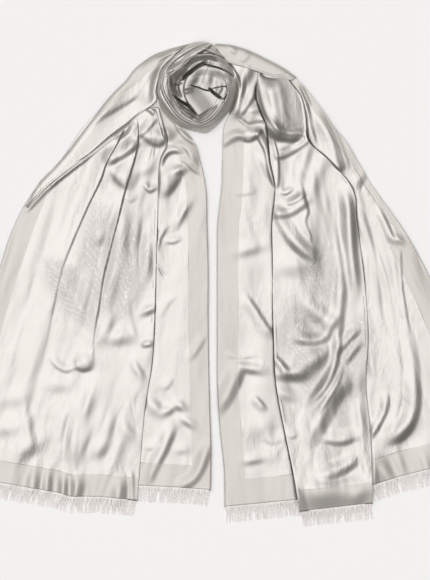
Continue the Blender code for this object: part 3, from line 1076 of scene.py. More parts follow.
# Soft folds of each panel
LEFT_OUTER_CREASES = (
    # The two long pleats from the neck
    Crease(((94, 378), (94, 340), (99, 308), (104, 276), (111.5, 246), (118.4, 219), (125.7, 190),
            (131.5, 171), (137, 151), (138.5, 137), (138, 120)), 2.2, 34.0, 3.8, 0.35, 0.05),
    Crease(((37, 400), (42, 366), (48, 336), (54, 306), (58.6, 285), (63.4, 267), (69.5, 250), (81, 223),
            (90, 203), (101.5, 179), (107, 163), (118, 143), (127, 124)), 3.0, 30.0, 3.1, 0.90, 0.05),
    fold(((29, 440), (31, 410), (36, 375), (43, 345), (50, 315), (56, 292)), 10, 0.11, 2.0),
    # Branch of the first pleat under the shoulder
    fold(((139, 138), (148, 131), (157, 120)), 4, 0.72, 2.4),
    groove(((146, 110), (150, 112), (153, 115)), 8, 0.8),
    # Dark curved folds below the coil
    fold(((112, 163.5), (117, 161), (123, 157.6), (130, 152.5), (136, 147.6)), 7, 0.74, 2.0, 0.15, 0.15),
    Sag((119, 180), (15, 12), -35.0, 0.27),
    fold(((110, 172), (117, 182), (126, 189)), 5, 0.28, 2.0),
    Sag((155, 141), (13.8, 8.5), -10.0, 0.46),
    fold(((143, 137), (152, 145), (160, 146), (169, 138)), 4, 0.4, 2.0, 0.2, 0.2),
    fold(((120, 139), (126, 134), (132, 126)), 7, 0.6, 1.4),
    groove(((155, 145), (154, 156)), 4, 0.5),
    fold(((143, 186), (149, 192), (157, 189)), 4, 0.7, 1.6),
    Sag((146, 172), (10, 7), 30.0, 0.22),
    fold(((124, 198), (130, 202), (136, 199)), 5, 0.3, 1.6),
    # Light strip that comes down from the coil
    Crease(((166, 137), (162, 118), (159, 104)), 3.4, 6.0, 5.0, 0.1, 0.1),
    # Grey folds between the pleats
    fold(((127, 282), (130, 262), (127, 242), (128, 222), (125, 208)), 8, 0.15, 1.8),
    Sag((124, 228), (34, 9), 82.0, 0.13),
    fold(((152, 286), (151, 262), (152, 232), (151, 205)), 6, 0.26, 1.6),
    Sag((150, 268), (14, 7), 90.0, 0.20),
    fold(((139, 286), (138, 256), (141, 226), (144, 200)), 4, 0.21, 2.0),
    fold(((96, 270), (101, 244), (109, 220), (116, 198)), 7, 0.3, 1.6),
    Sag((101, 240), (9, 7), 40.0, 0.22),
    Sag((107, 212), (24, 8), 65.0, 0.24),
    fold(((82, 330), (88, 300), (96, 268)), 8, 0.34, 1.4),
    Sag((114, 292), (26, 8), 80.0, 0.20),
    Sag((119, 341), (16, 9), 8.0, 0.28),
    Sag((108, 330), (16, 7), 60.0, 0.26),
    fold(((124, 296), (128, 320), (136, 345)), 3, 0.3, 2.0),
    Sag((150, 312), (9, 5), 25.0, 0.54),
    fold(((143, 347), (152, 345.5)), 4, 0.6, 1.6),
    Sag((140, 369), (10, 5), 115.0, 0.38),
    # Dark hollow at the end of the first pleat
    Sag((86, 365), (9, 9), 10.0, 0.38),
    fold(((76, 368), (83, 371), (91, 369)), 5, 0.5, 1.8),
    fold(((50, 360), (57, 368), (66, 372), (76, 369)), 5, 0.4, 1.6),
    Sag((59, 388), (12, 9), 0.0, 0.21),
    Sag((14, 402), (16, 10), 15.0, 0.14),
    fold(((77, 480), (76, 450), (78, 425), (80, 400), (80, 380)), 8, 0.22, 1.2, 0.02, 0.5),
    # Dip along the edge of the shoulder band
    fold(((29, 210.6), (52, 187.2), (82, 163.2), (112, 139), (141, 114.6)), 4.4, 0.72, 1.4, 0.05, 0.1),
    Sag((89, 408), (18, 8), 68.0, 0.33),
    Sag((83, 447), (18, 10), 78.0, 0.27),
    Sag((101, 452), (11, 8), 50.0, 0.29),
    Sag((111, 430), (18, 7), 78.0, 0.25),
    Sag((131, 430), (11, 7), 120.0, 0.28),
    Sag((31, 451), (15, 10), 35.0, 0.28),
    Sag((30, 424), (22, 6), 98.0, 0.28),
    Sag((6, 432), (10, 10), 0.0, 0.22),
    fold(((60, 464), (63, 440), (68, 412)), 5, 0.22, 1.6),
    groove(((128, 390), (132, 410), (137, 432)), 3, 0.5),
    # Broad leans of the field
    Sag((82, 264), (70, 15), 72.0, 0.13),
    Sag((134, 246), (62, 17), 87.0, 0.14),
    Sag((104, 436), (46, 24), 84.0, 0.11),
    # Waves of the hem
    Sag((37, 486), (15, 7), 82.0, 0.70),
    Sag((50, 488), (15, 6), 86.0, 0.90),
    Sag((66, 491), (16, 5), 88.0, 1.00),
    Sag((80, 492), (15, 7), 76.0, 0.85),
    Sag((123, 494), (15, 8), 85.0, 0.70),
    fold(((134, 503), (134, 484), (133, 470)), 4, 0.73, 1.2, 0.02, 0.4),
)
LEFT_INNER_CREASES = (
    # Lens of the second strand and the arcs below it
    groove(((176, 128), (185, 138), (197, 146)), 8, 0.8),
    fold(((164, 104), (172, 117), (181, 130), (190, 139), (198, 146)), 3.4, 0.74, 3.0),
    Sag((171, 136), (6.4, 8.5), 70.0, 0.54),
    fold(((173, 144), (180, 146), (186, 151), (190, 158), (196, 166)), 4, 0.7, 2.4),
    fold(((162, 166), (166, 157), (173, 152.6), (183, 154)), 5, 0.73, 1.8),
    fold(((179, 161), (186, 164), (192, 170), (199, 175)), 4, 0.72, 2.4),
    Sag((172, 182), (14, 11), 62.0, 0.40),
    Sag((180, 172), (8, 5), 20.0, 0.54),
    fold(((165, 196), (171, 192), (178, 182), (186, 171)), 6, 0.36, 1.4),
    Sag((188, 211), (15, 6), 62.0, 0.27),
    fold(((178, 229), (184, 216), (191, 205)), 5, 0.3, 2.0),
    fold(((166, 243), (173, 243.5), (180, 241)), 4, 0.5, 2.0),
    fold(((156, 256), (161, 240), (169, 226)), 4, 0.38, 1.6),
    groove(((155, 262), (159, 269), (165, 279)), 4, 0.6),
    fold(((162, 318), (168, 306), (176, 298)), 5, 0.18, 2.0),
    # Diagonal folds towards the hem
    Sag((157, 404), (11, 8), 130.0, 0.38),
    Sag((170, 412), (8, 5), 30.0, 0.40),
    Sag((179, 408), (7.4, 5.6), -40.0, 0.43),
    Sag((187, 424), (9.5, 5.6), -35.0, 0.43),
    fold(((152, 482), (160, 464), (168, 448), (177, 426)), 7, 0.52, 1.6, 0.15, 0.3),
    fold(((145, 449), (151, 450), (159, 446)), 5, 0.26, 2.0),
    fold(((182, 490), (195, 482), (204, 468), (211, 448)), 7, 0.64, 1.6, 0.15, 0.2),
    Sag((182, 452), (8, 6), 0.0, 0.20),
    fold(((192, 360), (199, 350), (206, 338)), 5, 0.34, 1.8),
    fold(((165, 390), (170, 386), (173, 380)), 5, 0.24, 2.0),
)
RIGHT_INNER_CREASES = (
    # Folds below the coil
    groove(((237, 119), (242, 123), (248, 127)), 6, 0.8),
    fold(((241, 117), (246, 110), (254, 98), (256, 84)), 5, 0.73, 2.0, 0.2, 0.4),
    fold(((236, 117), (240, 107), (244, 90), (244, 74)), 6, 0.72, 1.6, 0.2, 0.4),
    Sag((255, 114), (9.4, 7.3), 20.0, 0.54),
    Sag((249, 76), (12, 7), 70.0, 0.45),
    groove(((241, 90), (239, 78), (232, 66)), 5, 0.8),
    fold(((246, 127), (251, 123.6), (262, 122), (269, 125)), 5, 0.73, 1.6),
    Sag((247, 137), (13.6, 6.3), 5.0, 0.54),
    fold(((238, 138), (248, 142), (256, 138), (261, 133)), 4, 0.6, 1.6, 0.2, 0.2),
    fold(((224, 147), (233, 141), (240, 138)), 6, 0.5, 1.6),
    fold(((255, 134), (260, 143), (264.6, 153), (267.6, 168), (271, 181), (274.6, 188)), 4.4, 0.75, 1.6,
         0.1, 0.1),
    fold(((258, 158), (264, 171), (270, 182)), 8, 0.36, 1.3),
    fold(((236, 196), (246, 195), (255, 193)), 4, 0.22, 3.0),
    Sag((250, 252), (16, 7), 15.0, 0.24),
    # Diagonal folds by the middle panel
    fold(((273, 333), (263, 318), (256, 307), (247, 294)), 5, 0.5, 2.4, 0.15, 0.25),
    fold(((226, 357), (240, 359), (256, 357)), 4, 0.3, 2.0),
    Sag((250, 371), (14, 6), -10.0, 0.42),
    fold(((266, 407), (261, 401), (256, 396)), 4.4, 0.5, 2.0),
    fold(((222, 412), (230, 400), (236, 388), (244, 370)), 10, 0.52, 1.4),
    fold(((264, 441), (273, 444), (284, 440)), 6, 0.20, 2.0),
    Sag((253, 462), (10, 5), 10.0, 0.30),
    fold(((275, 462), (281, 450), (290, 436)), 5, 0.16, 2.4),
    Sag((262, 425), (64, 18), 86.0, 0.12),
    Sag((262, 432), (16, 12), 20.0, 0.14),
)
RIGHT_MIDDLE_CREASES = (
    # Raised rim of the pouch under the shoulder
    Crease(((257, 74), (258, 92), (262.4, 110), (268, 120), (277, 131.5), (288.5, 135.4), (298, 135),
            (306, 137)), 7.0, 12.0, 2.4, 0.05, 0.1),
    Crease(((306.6, 137), (306, 118), (302, 98), (293, 80)), 3.0, 3.4, 1.0, 0.1, 0.2),
    fold(((295, 128), (292, 105), (286, 82)), 32, 0.42, 0.6, 0.1, 0.15),
    groove(((260, 74), (266, 78), (278, 80)), 5, 0.8, 0.1, 0.4),
    fold(((262, 125), (268, 132), (276, 138), (289, 141), (303, 139)), 7, 0.72, 1.4, 0.1, 0.2),
    # Tube and lobe that meet in the V
    Crease(((278, 187), (279, 176), (278.6, 160), (276, 146), (271, 134)), 3.4, 9.0, 1.8, 0.05, 0.2),
    Sag((287, 150), (10.1, 7.8), 25.0, 0.54),
    fold(((277, 159), (284, 158), (292, 154.5), (300, 149), (311, 140)), 4, 0.7, 1.6, 0.1, 0.2),
    fold(((303, 188), (306, 170), (311, 152), (318, 134)), 9, 0.36, 1.4),
    Sag((316, 132), (8, 5), 60.0, 0.54),
    # Lens with its arcs
    fold(((281, 194), (286, 195), (292, 191.5)), 4, 0.6, 1.6),
    fold(((284, 206), (292, 204.5), (300, 200), (306, 195)), 4.5, 0.73, 1.8),
    fold(((277, 217), (287, 216.5), (297, 212), (308, 204)), 7, 0.5, 1.6, 0.1, 0.2),
    fold(((273, 214), (280, 229), (289, 242), (300, 254), (308, 259)), 8, 0.40, 1.6, 0.15, 0.1),
    Sag((299, 250), (12, 8), -40.0, 0.30),
    fold(((312, 243), (310.6, 235), (306, 222), (308.6, 211), (305, 198), (302, 182)), 3, 0.6, 2.6,
         0.1, 0.2),
    Sag((296, 270), (22, 12), 10.0, 0.16),
    Sag((314, 248), (72, 24), 84.0, 0.12),
    Sag((332, 466), (48, 26), 80.0, 0.10),
    Sag((293, 452), (58, 14), 103.0, 0.13),
    # Blade by the right edge
    fold(((362, 296), (358, 272), (355, 250), (353.6, 226), (352.6, 208), (348, 188)), 9, 0.66, 1.3,
         0.3, 0.2),
    fold(((340, 340), (343, 312), (345, 290), (344, 268), (341, 248), (336, 228)), 8, 0.45, 1.4, 0.2, 0.3),
    fold(((332, 300), (333, 260), (328, 225)), 5, 0.22, 1.6),
    Sag((322, 172), (34, 10), 65.0, 0.16),
    # Hook, arrow and the long diagonals
    Sag((315, 317), (17, 10), -42.0, 0.38),
    fold(((296, 342), (309, 344), (320, 343), (328, 338), (332, 330), (336, 321)), 8, 0.46, 1.2, 0.15, 0.1),
    fold(((289, 370), (281, 361), (274, 353)), 5, 0.56, 1.4),
    Sag((290, 377), (14.9, 7.5), 0.0, 0.48),
    Sag((309, 369), (18, 13), 35.0, 0.34),
    Sag((323, 359), (13, 9), 42.0, 0.28),
    Sag((287, 398), (12, 7), -20.0, 0.26),
    fold(((311, 406), (320, 396), (329, 384), (336, 368), (340, 350), (341.6, 332)),
         6, 0.7, 1.3, 0.2, 0.2),
    fold(((318, 416), (330, 398), (340, 380), (345, 362)), 3.4, 0.5, 1.6),
    fold(((343, 351), (350, 342), (359, 332)), 6, 0.60, 1.5),
    fold(((348, 363), (354, 354), (361, 345)), 6, 0.54, 1.5),
    fold(((314, 441), (321, 430), (328, 417), (336, 401), (347, 386)), 15, 0.42, 1.4, 0.25, 0.35),
    Sag((347, 389), (16, 13), 30.0, 0.22),
    fold(((322, 441), (340, 444), (357, 439)), 7, 0.42, 1.8),
    fold(((318, 477), (330, 478), (343, 474), (353, 466), (361, 453)), 8, 0.40, 1.8),
    Sag((340, 470), (16, 7), 20.0, 0.30),
    fold(((287, 436), (293, 438), (298, 434)), 5, 0.3, 2.0),
    fold(((370, 470), (367, 450), (365, 420), (363, 396), (364, 360)), 8, 0.24, 1.0, 0.02, 0.3),
    # Sagging hem
    Sag((334, 500), (46, 18), 5.0, 0.46),
    Sag((300, 497), (12.4, 6.2), 110.0, 0.54),
    Sag((359, 500), (12, 9), 60.0, 0.30),
)
RIGHT_OUTER_CREASES = (
    fold(((343, 171), (339.6, 157), (335, 142), (329, 128), (320, 112)), 8, 0.62, 1.6, 0.1, 0.2),
    fold(((329, 168), (337, 170), (345, 168)), 5, 0.36, 1.8),
    groove(((299, 86), (304, 96), (309, 108)), 6, 0.8),
    fold(((318, 146), (313, 128), (309, 112), (300, 92)), 6, 0.5, 1.4),
    fold(((352, 176), (344, 150), (333, 124), (320, 100)), 5, 0.30, 1.6),
    fold(((337, 200), (334, 180), (330, 160), (322, 138)), 9, 0.26, 1.0),
    Sag((362, 180), (9.3, 5.2), 55.0, 0.32),
    groove(((361, 193), (364, 186), (367, 182)), 4, 0.3),
    fold(((383, 330), (380, 290), (374, 250), (365, 215), (356, 186)), 5, 0.3, 2.0),
    fold(((401, 249), (396, 243), (388, 224), (379, 205)), 4, 0.5, 1.8, 0.2, 0.3),
    Sag((397, 242), (6.9, 5.2), -30.0, 0.54),
    fold(((411, 336), (406, 309), (402, 280), (401, 252)), 3, 0.5, 2.4, 0.3, 0.05),
    fold(((368, 322), (368, 290), (367.6, 248)), 3, 0.2, 3.0),
    fold(((397, 330), (387, 280), (376, 244)), 4, 0.24, 2.4),
    # Long folds that turn in above the hem
    fold(((390, 443), (402, 438), (413, 424), (418.4, 404), (418, 380), (415, 352), (408, 318)),
         9, 0.52, 1.6, 0.12, 0.6),
    Sag((404, 433), (15, 11), 45.0, 0.34),
    fold(((386, 439), (394, 426), (400, 406), (402, 384), (400, 350), (393, 305)), 5, 0.26, 1.8, 0.1, 0.5),
    fold(((373, 437), (381, 424), (387, 410), (389, 394)), 5, 0.60, 1.6, 0.1, 0.3),
    fold(((372, 404), (375, 380), (374, 350)), 6, 0.2, 1.4),
    Sag((375, 473), (17, 9), 98.0, 1.00),
    Sag((387, 469), (16, 9), 112.0, 0.85),
    Sag((402, 464), (14, 6), 110.0, 0.36),
    Sag((430, 466), (18, 7), 105.0, 0.40),
)

# Ridges and slits of the neck coil
COIL_CREASES = (
    # White crest of the outer strand and the two strands inside it
    Crease(((173, 55), (167, 64.5), (163, 73), (161.2, 82), (161.8, 90), (164.6, 97.5),
            (168.6, 104.5), (174.6, 113), (180, 118.4), (187, 122.6), (195.6, 125.3),
            (203.3, 125), (211, 121), (217.6, 114.5), (223.5, 106), (227, 97), (228.6, 88),
            (226, 79)), 3.4, 2.4, 3.4, 0.1, 0.1),
    Crease(((168.4, 77), (167.4, 83), (169.2, 90.6), (173.4, 99.4), (179, 108.3), (184.4, 115),
            (192, 120), (197.8, 121.8), (205.6, 119), (212.2, 112.8), (219, 106)),
           2.0, 4.0, 4.4, 0.1, 0.1),
    Crease(((196, 117), (187, 112), (180, 105), (174.6, 95), (171.8, 87), (171.6, 79)),
           8.0, 2.4, 7.0, 0.2, 0.1),
    # Dark hollow on the left, with its small curl
    Crease(((181, 74), (176.6, 80), (175, 88), (178, 97)), 7.0, 5.0, -9.0, 0.3, 0.3),
    Crease(((173.6, 82.4), (177.2, 85.4), (182, 84.4)), 2.0, 2.0, 3.0, 0.3, 0.3),
    # Crown: its left edge, the tilted triangle and the puffs above it
    Crease(((189, 75), (185.6, 81), (184, 88), (184.4, 93)), 5.0, 16.0, 3.0, 0.2, 0.1),
    Sag((196, 80), (8, 6), 60.0, 0.40),
    Sag((210, 80), (8, 6), 80.0, 0.40),
    Sag((222, 84), (8, 5), 85.0, 0.40),
    Sag((170, 88), (16, 5), 95.0, 0.50),
    Sag((182, 110), (12, 4), -45.0, 0.50),
    Crease(((183.6, 92), (187, 101.7), (193.4, 110), (199.4, 118.6)), 3.0, 36.0, 8.0, 0.05, 0.1),
    fold(((187, 76), (200, 73), (213, 74), (225, 79)), 9, 0.40, 0.8, 0.15, 0.15),
    Crease(((191.4, 86.6), (197.8, 88.4), (204, 90.8), (208.8, 91.8)), 1.8, 1.5, -10.0, 0.1, 0.1),
    Crease(((209.6, 90.6), (213.6, 94.6), (219, 98.6)), 3.4, 3.0, -14.0, 0.2, 0.1),
    Crease(((212, 89.6), (219, 88.0), (225.6, 87.6), (227, 92.6), (224.6, 98), (221, 99.8)),
           1.1, 1.1, -7.0, 0.15, 0.1),
    fold(((218.4, 96), (221, 92), (222.6, 88.6)), 4, 0.5, 1.0),
    Crease(((226.6, 95.6), (224.8, 99), (223.4, 102.6)), 1.6, 1.6, -11.0),
    # Folds at the lower left of the crown
    Crease(((173.6, 97.6), (180, 102.6), (188.4, 107.2)), 3.6, 3.2, -13.0, 0.2, 0.1),
    Crease(((186.4, 106.6), (191, 110.6), (196.4, 115.6)), 1.8, 1.8, -8.0),
    Crease(((176, 105), (183, 110), (191, 114)), 3.2, 3.0, 4.0),
    Crease(((181, 113), (187, 117), (194, 119)), 2.4, 2.4, 3.4),
    # Deep hollow between the bands and the crown
    Crease(((204.6, 62.4), (197.6, 66.2), (190.6, 71.4), (182.6, 77.6)), 5.6, 3.4, -16.0, 0.25, 0.1),
    Crease(((202.6, 65.4), (211, 67.0), (222, 70.6), (231, 76), (235.4, 81.6)), 2.4, 1.5, -10.0, 0.15, 0.1),
    # Light lens at the upper left and the bands that come over it
    Crease(((166.7, 72.8), (173.3, 64), (182.2, 57.2), (195.6, 49.4), (209, 45)), 1.6, 1.3, -5.5, 0.1, 0.05),
    Crease(((168, 75), (177.8, 70.6), (186.7, 65), (193.3, 58.3), (202.2, 52.8), (211.1, 47.2)),
           4.0, 12.0, 6.6, 0.1, 0.05),
    Crease(((172, 78.6), (184, 71.0), (190, 64.6), (199, 59.4), (209, 58.2), (221, 61), (231, 67),
            (236, 76)), 11.0, 3.0, 7.6, 0.1, 0.1),
    Crease(((206, 51.4), (217, 55.2), (229, 60.4)), 3.4, 2.6, 3.6, 0.1, 0.2),
    Crease(((199, 55.6), (209, 55.0), (218, 57.2), (229, 62.4)), 2.2, 1.4, -9.0),
    Crease(((208, 50.4), (213, 46.6), (218, 49)), 2.6, 2.6, -14.0),
    Crease(((216.5, 48.5), (221, 53), (229, 58.6)), 1.4, 1.4, -9.0),
    fold(((187, 53), (198, 47.8), (209, 44.8)), 6, 0.4, 1.0),
    # Slits on the right
    Crease(((233.6, 77), (237.0, 86), (238.4, 99)), 3.0, 2.2, -14.0, 0.1, 0.15),
    # Roll of the right band
    Crease(((229.6, 84), (231.4, 95), (227.4, 107), (219, 117.5), (207, 127)), 4.0, 5.0, 2.4, 0.2, 0.1),
)
LEFT_SHOULDER_CREASES = (
    Crease(((152, 103), (152.6, 90), (155, 78), (161, 67), (170, 58)), 15.0, 24.0, 4.8, 0.3, 0.35),
    Crease(((84, 132), (105, 117), (120, 108), (136, 98), (143, 88), (150, 76), (158, 68)),
           9.0, 20.0, 1.9, 0.4, 0.3),
    Sag((122, 94), (34, 12), 48.0, 0.26),
    Crease(((158, 62), (174, 54), (190, 49.6)), 5.0, 7.0, 2.0, 0.2, 0.1),
)
RIGHT_SHOULDER_CREASES = (
    Crease(((228, 46), (233, 54)), 7.0, 8.0, 1.5),
    Crease(((247, 52), (240, 60)), 7.0, 9.0, 1.2),
)


@dataclass(frozen=True)
class CoilPart:
    """One ring of the neck coil's surface, between two insets from its outline in mm."""

    name: str
    nodes: tuple
    inset: tuple
    finish: bpy.types.Material
    crown: bool = False


@dataclass
class Coil:
    """The neck coil: one cloth surface of wound strands, cut into rings.

    Sizes are in millimetres: the grids, the length of a degree of the outline, the flank's
    width, the heights, and the radius of the hole at the pole.
    """

    grid: float = 0.75
    crown_grid: float = 1.5
    degree: float = 1.2
    flank: float = 5.0
    foot: float = 1.0
    crest: float = 19.0
    middle: float = 16.0
    top: float = 33.0
    pole: float = 0.4
    # Inset of the coil's white crest in steps, by angle
    crest_line: tuple = ((0, 8.0), (66, 8.0), (100, 6.0), (127, 2.0), (160, 2.2), (180, 3.0),
                         (215, 4.0), (246, 4.8), (280, 8.2), (320, 9.0), (360, 8.0))

    def crest_inset(self, angle: np.ndarray) -> np.ndarray:
        """Inset of the crest, in millimetres, at angles in degrees."""
        line = np.array(self.crest_line)
        return np.interp(np.mod(angle, 360.0), line[:, 0], line[:, 1]) * MM_PER_STEP

    def height(self, across: np.ndarray, down: np.ndarray, inset: np.ndarray) -> np.ndarray:
        """Height of the coil's surface.

        Args:
            across: places across, in steps.
            down: places down, in steps.
            inset: their distances from the outline, in millimetres.

        Returns:
            The height in millimetres.
        """
        angle = np.degrees(np.arctan2(COIL_CENTRE[1] - down, across - COIL_CENTRE[0]))
        flank = np.maximum(self.crest_inset(angle), self.flank)
        rise = np.clip(inset / flank, 0.0, 1.0)
        height = self.foot + self.crest * np.sin(0.5 * math.pi * rise) ** 0.85
        height = height - (self.crest - self.middle) * ease((inset - 12.0) / 14.0)
        return np.clip(height + relief_of(COIL_CREASES, across, down), self.foot, self.top)

    def build(self, part: CoilPart) -> SheetMesh:
        """Build one ring of the surface.

        Args:
            part: which ring.

        Returns:
            The ring's cloth.
        """
        first, last = part.inset
        rings = int((last - first) / self.grid) + 1
        around = self.crown_grid if part.crown else self.grid
        count = int(360 * self.degree / around) + 1
        angles = np.linspace(SEAM_ANGLE, SEAM_ANGLE + 360.0, count)[None, :]
        full = coil_radius(angles) * MM_PER_STEP
        inset = np.linspace(first, last, rings)[:, None] + 0.0 * full
        if part.crown:
            inset = first + np.linspace(0.0, 1.0, rings)[:, None] * (full - self.pole - first)
        radius = (full - inset) / MM_PER_STEP
        turn = np.radians(angles)
        across = COIL_CENTRE[0] + radius * np.cos(turn)
        down = COIL_CENTRE[1] - radius * np.sin(turn)
        points = to_frame(across, down, self.height(across, down, inset))
        return SheetMesh(part.name, points, past_border(inset - self.crest_inset(angles)), part.finish)


@dataclass
class Shoulder:
    """A stretch of border folded over a shoulder, between two lines.

    "border_reach" says, by row, how far from the outer line the border ends, and "under"
    names the panels below. Sizes are in millimetres, samples and columns are counts.
    """

    name: str
    node: str
    rows: tuple
    layers: tuple
    creases: tuple
    finish: bpy.types.Material
    border_reach: tuple
    under: tuple
    lift: float = 1.7
    fold: float = 1.6
    rim: float = 1.2
    clearance: float = 1.0
    lowest: float = 0.7
    lip: float = 0.4
    lip_drop: float = 0.9
    tuck: float = 3.0
    tuck_drop: float = 1.5
    samples: int = 16
    columns: int = 34

    def height(self, across: np.ndarray, down: np.ndarray, from_outer: np.ndarray,
               from_inner: np.ndarray) -> np.ndarray:
        """Height of the strip's upper face.

        Args:
            across: places across, in steps.
            down: places down, in steps.
            from_outer: distances from the outline, in millimetres.
            from_inner: distances from the lower edge, in millimetres.

        Returns:
            The height in millimetres.
        """
        height = self.lift + stacked(self.layers, across, down)
        height = height + self.fold * ease(from_outer / 12.0) * ease(1.2 - from_outer / 40.0)
        height = height - (self.lift + 1.0) * (1.0 - ease((from_outer + 4.0) / 10.0))
        height = height + self.rim * ease(1.0 - from_inner / 5.0) * ease(from_outer / 8.0)
        height = height + relief_of(self.creases, across, down)
        for panel in self.under:
            inside = ease((from_outer - 1.0) / 4.0) * ease((down - panel.top + 6.0) / 8.0)
            height = np.maximum(height, (panel.height(across, down) + self.clearance) * inside)
        return np.maximum(height, self.lowest)

    def tucked(self, points: np.ndarray) -> np.ndarray:
        """Turn the strip's lower edge under.

        Args:
            points: grid of the strip's points, in metres.

        Returns:
            The grid with two more columns.
        """
        edge = points[:, -1:] - np.array([0.0, 0.0, self.lip_drop * MILLIMETRE])
        ahead = (points[:, -2:-1] - points[:, -1:]) * np.array([1.0, 1.0, 0.0])
        ahead /= np.maximum(np.linalg.norm(ahead, axis=2, keepdims=True), TINY)
        deeper = np.array([0.0, 0.0, (self.tuck_drop - self.lip_drop) * MILLIMETRE])
        below = edge + ahead * self.tuck * MILLIMETRE - deeper
        return np.concatenate([points, edge - ahead * self.lip * MILLIMETRE, below], axis=1)

    def build(self) -> SheetMesh:
        """Build the strip of cloth.

        Returns:
            The strip's cloth.
        """
        table = np.column_stack([np.arange(len(self.rows)), np.array(self.rows)])
        run = np.linspace(0.0, len(self.rows) - 1.0, self.samples * len(self.rows))[:, None]
        share = np.linspace(0.0, 1.0, self.columns)[None, :]
        outer_x, outer_y, inner_x, inner_y = (smooth_table(table, i, run) for i in range(1, 5))
        across = outer_x + share * (inner_x - outer_x)
        down = outer_y + share * (inner_y - outer_y)
        breadth = np.hypot(inner_x - outer_x, inner_y - outer_y) * MM_PER_STEP
        from_outer, from_inner = share * breadth, (1.0 - share) * breadth
        reach = np.array(self.border_reach)
        cloth = past_border(from_outer - np.interp(run, reach[:, 0], reach[:, 1]))
        cloth = np.concatenate([cloth, cloth[:, -1:], cloth[:, -1:]], axis=1)
        points = to_frame(across, down, self.height(across, down, from_outer, from_inner))
        return SheetMesh(self.name, self.tucked(points), cloth, self.finish)


@dataclass
class Yarns:
    """Many short yarns in one mesh, each with the same corners round it and rings along it."""

    name: str
    finish: bpy.types.Material
    corners: int
    rings: int
    closed: bool

    def build(self, points: list) -> bpy.types.Object:
        """Build the mesh.

        Args:
            points: ring after ring of each yarn: across and down in steps, height in millimetres.

        Returns:
            The piece.
        """
        faces = []
        for start in range(0, len(points), self.corners * self.rings):
            last = start + self.corners * (self.rings - 1)
            for ring in range(start, last, self.corners):
                for k in range(self.corners):
                    a, b = ring + k, ring + (k + 1) % self.corners
                    faces.append((a, b, b + self.corners, a + self.corners))
            if self.closed:
                faces.append(tuple(range(last, last + self.corners)))
        mesh = bpy.data.meshes.new(self.name)
        mesh.from_pydata(to_frame(*np.array(points).T).tolist(), [], faces)
        mesh.shade_smooth()
        mesh.materials.append(self.finish)
        return add_piece(self.name, mesh)


@dataclass
class Fringe:
    """Loose warp ends along one hem, in small uneven clumps.

    Start and end are in steps across; length, spacing and strand are in millimetres.
    """

    name: str
    node: str
    hem: str
    start: float
    end: float
    panel: Panel
    seed: int
    finish: bpy.types.Material
    length: float = 28.0
    spacing: float = 0.44
    strand: float = 0.36
    # How far a strand leans towards the middle of its clump, and how much thinner its tip is
    pull: float = 0.28
    taper: float = 0.55
    rings: int = 7
    corners: tuple = (30.0, 150.0, 270.0)

    def build(self) -> bpy.types.Object:
        """Build all strands of the hem as one mesh.

        Returns:
            The piece.
        """
        random = np.random.default_rng(self.seed)
        across = np.arange(self.start, self.end, self.spacing / MM_PER_STEP)
        count = len(across)
        down = hem_down(self.hem, across)
        slope = np.gradient(down, across)
        lift = self.panel.height(across, down - 1.0)
        clump = np.cumsum(random.uniform(0.06, 0.24, count)).astype(int)
        clumps = clump.max() + 1
        lean = random.normal(0.0, 0.07, clumps)[clump] + random.normal(0.0, 0.05, count)
        length = self.length * random.uniform(0.95, 1.03, clumps)[clump]
        length = length * random.uniform(0.94, 1.03, count)
        middle = np.array([across[clump == i].mean() for i in range(clumps)])[clump]
        curl = random.normal(0.0, 1.6, count)
        points = []
        for i in range(count):
            ahead = np.array([-slope[i], 1.0]) / math.hypot(slope[i], 1.0)
            aside = np.array([ahead[1], -ahead[0]])
            pull = (middle[i] - across[i]) * MM_PER_STEP * self.pull
            for s in np.linspace(0.0, 1.0, self.rings):
                out = -1.5 + length[i] * s
                off = pull * math.sin(min(s * 1.6, 1.0) * math.pi / 2) + lean[i] * length[i] * s
                off += curl[i] * s * s * math.sin(2.4 * s)
                place = np.array([across[i], down[i]]) + (ahead * out + aside * off) / MM_PER_STEP
                rise = lift[i] + 0.35 - (lift[i] - 0.55) * min(1.0, s * 1.5)
                width = self.strand * (1.0 - self.taper * s)
                for angle in map(math.radians, self.corners):
                    wide = place + aside * width * math.cos(angle) / MM_PER_STEP
                    points.append((wide[0], wide[1], rise + width * math.sin(angle)))
        return Yarns(self.name, self.finish, len(self.corners), self.rings, False).build(points)


@dataclass
class Picots:
    """Overcast stitches that stick out of a selvedge.

    Start and end are in steps down; pitch and thickness are in millimetres.
    """

    name: str
    panel: Panel
    column: int
    outwards: float
    start: float
    end: float
    seed: int
    finish: bpy.types.Material
    pitch: float = 3.1
    thick: float = 0.42
    corners: tuple = (0.0, 90.0, 180.0, 270.0)

    def build(self) -> bpy.types.Object:
        """Build all stitches of the selvedge as one mesh.

        Returns:
            The piece.
        """
        random = np.random.default_rng(self.seed)
        down = np.arange(self.start, self.end, self.pitch / MM_PER_STEP)
        down = down + random.normal(0.0, 0.12, len(down))
        across = smooth_table(self.panel.rows, self.column, down)
        lift = self.panel.height(across - self.outwards, down)
        out = self.outwards / MM_PER_STEP
        points = []
        for x, y, z in zip(across, down, lift):
            reach = 1.5 + 0.5 * random.random()
            slant = random.normal(0.2, 0.25)
            rings = ((-1.6, -0.5, z + 0.25), (0.2, 0.0, z + 0.35), (reach, slant, z * 0.5 + 0.35))
            for ring, (away, along, height) in enumerate(rings):
                wide = self.thick * (1.0 - 0.3 * ring)
                for angle in map(math.radians, self.corners):
                    points.append((x + away * out, y + (along + wide * math.cos(angle)) / MM_PER_STEP,
                                   max(height + 0.6 * wide * math.sin(angle), 0.15)))
        return Yarns(self.name, self.finish, len(self.corners), 3, True).build(points)


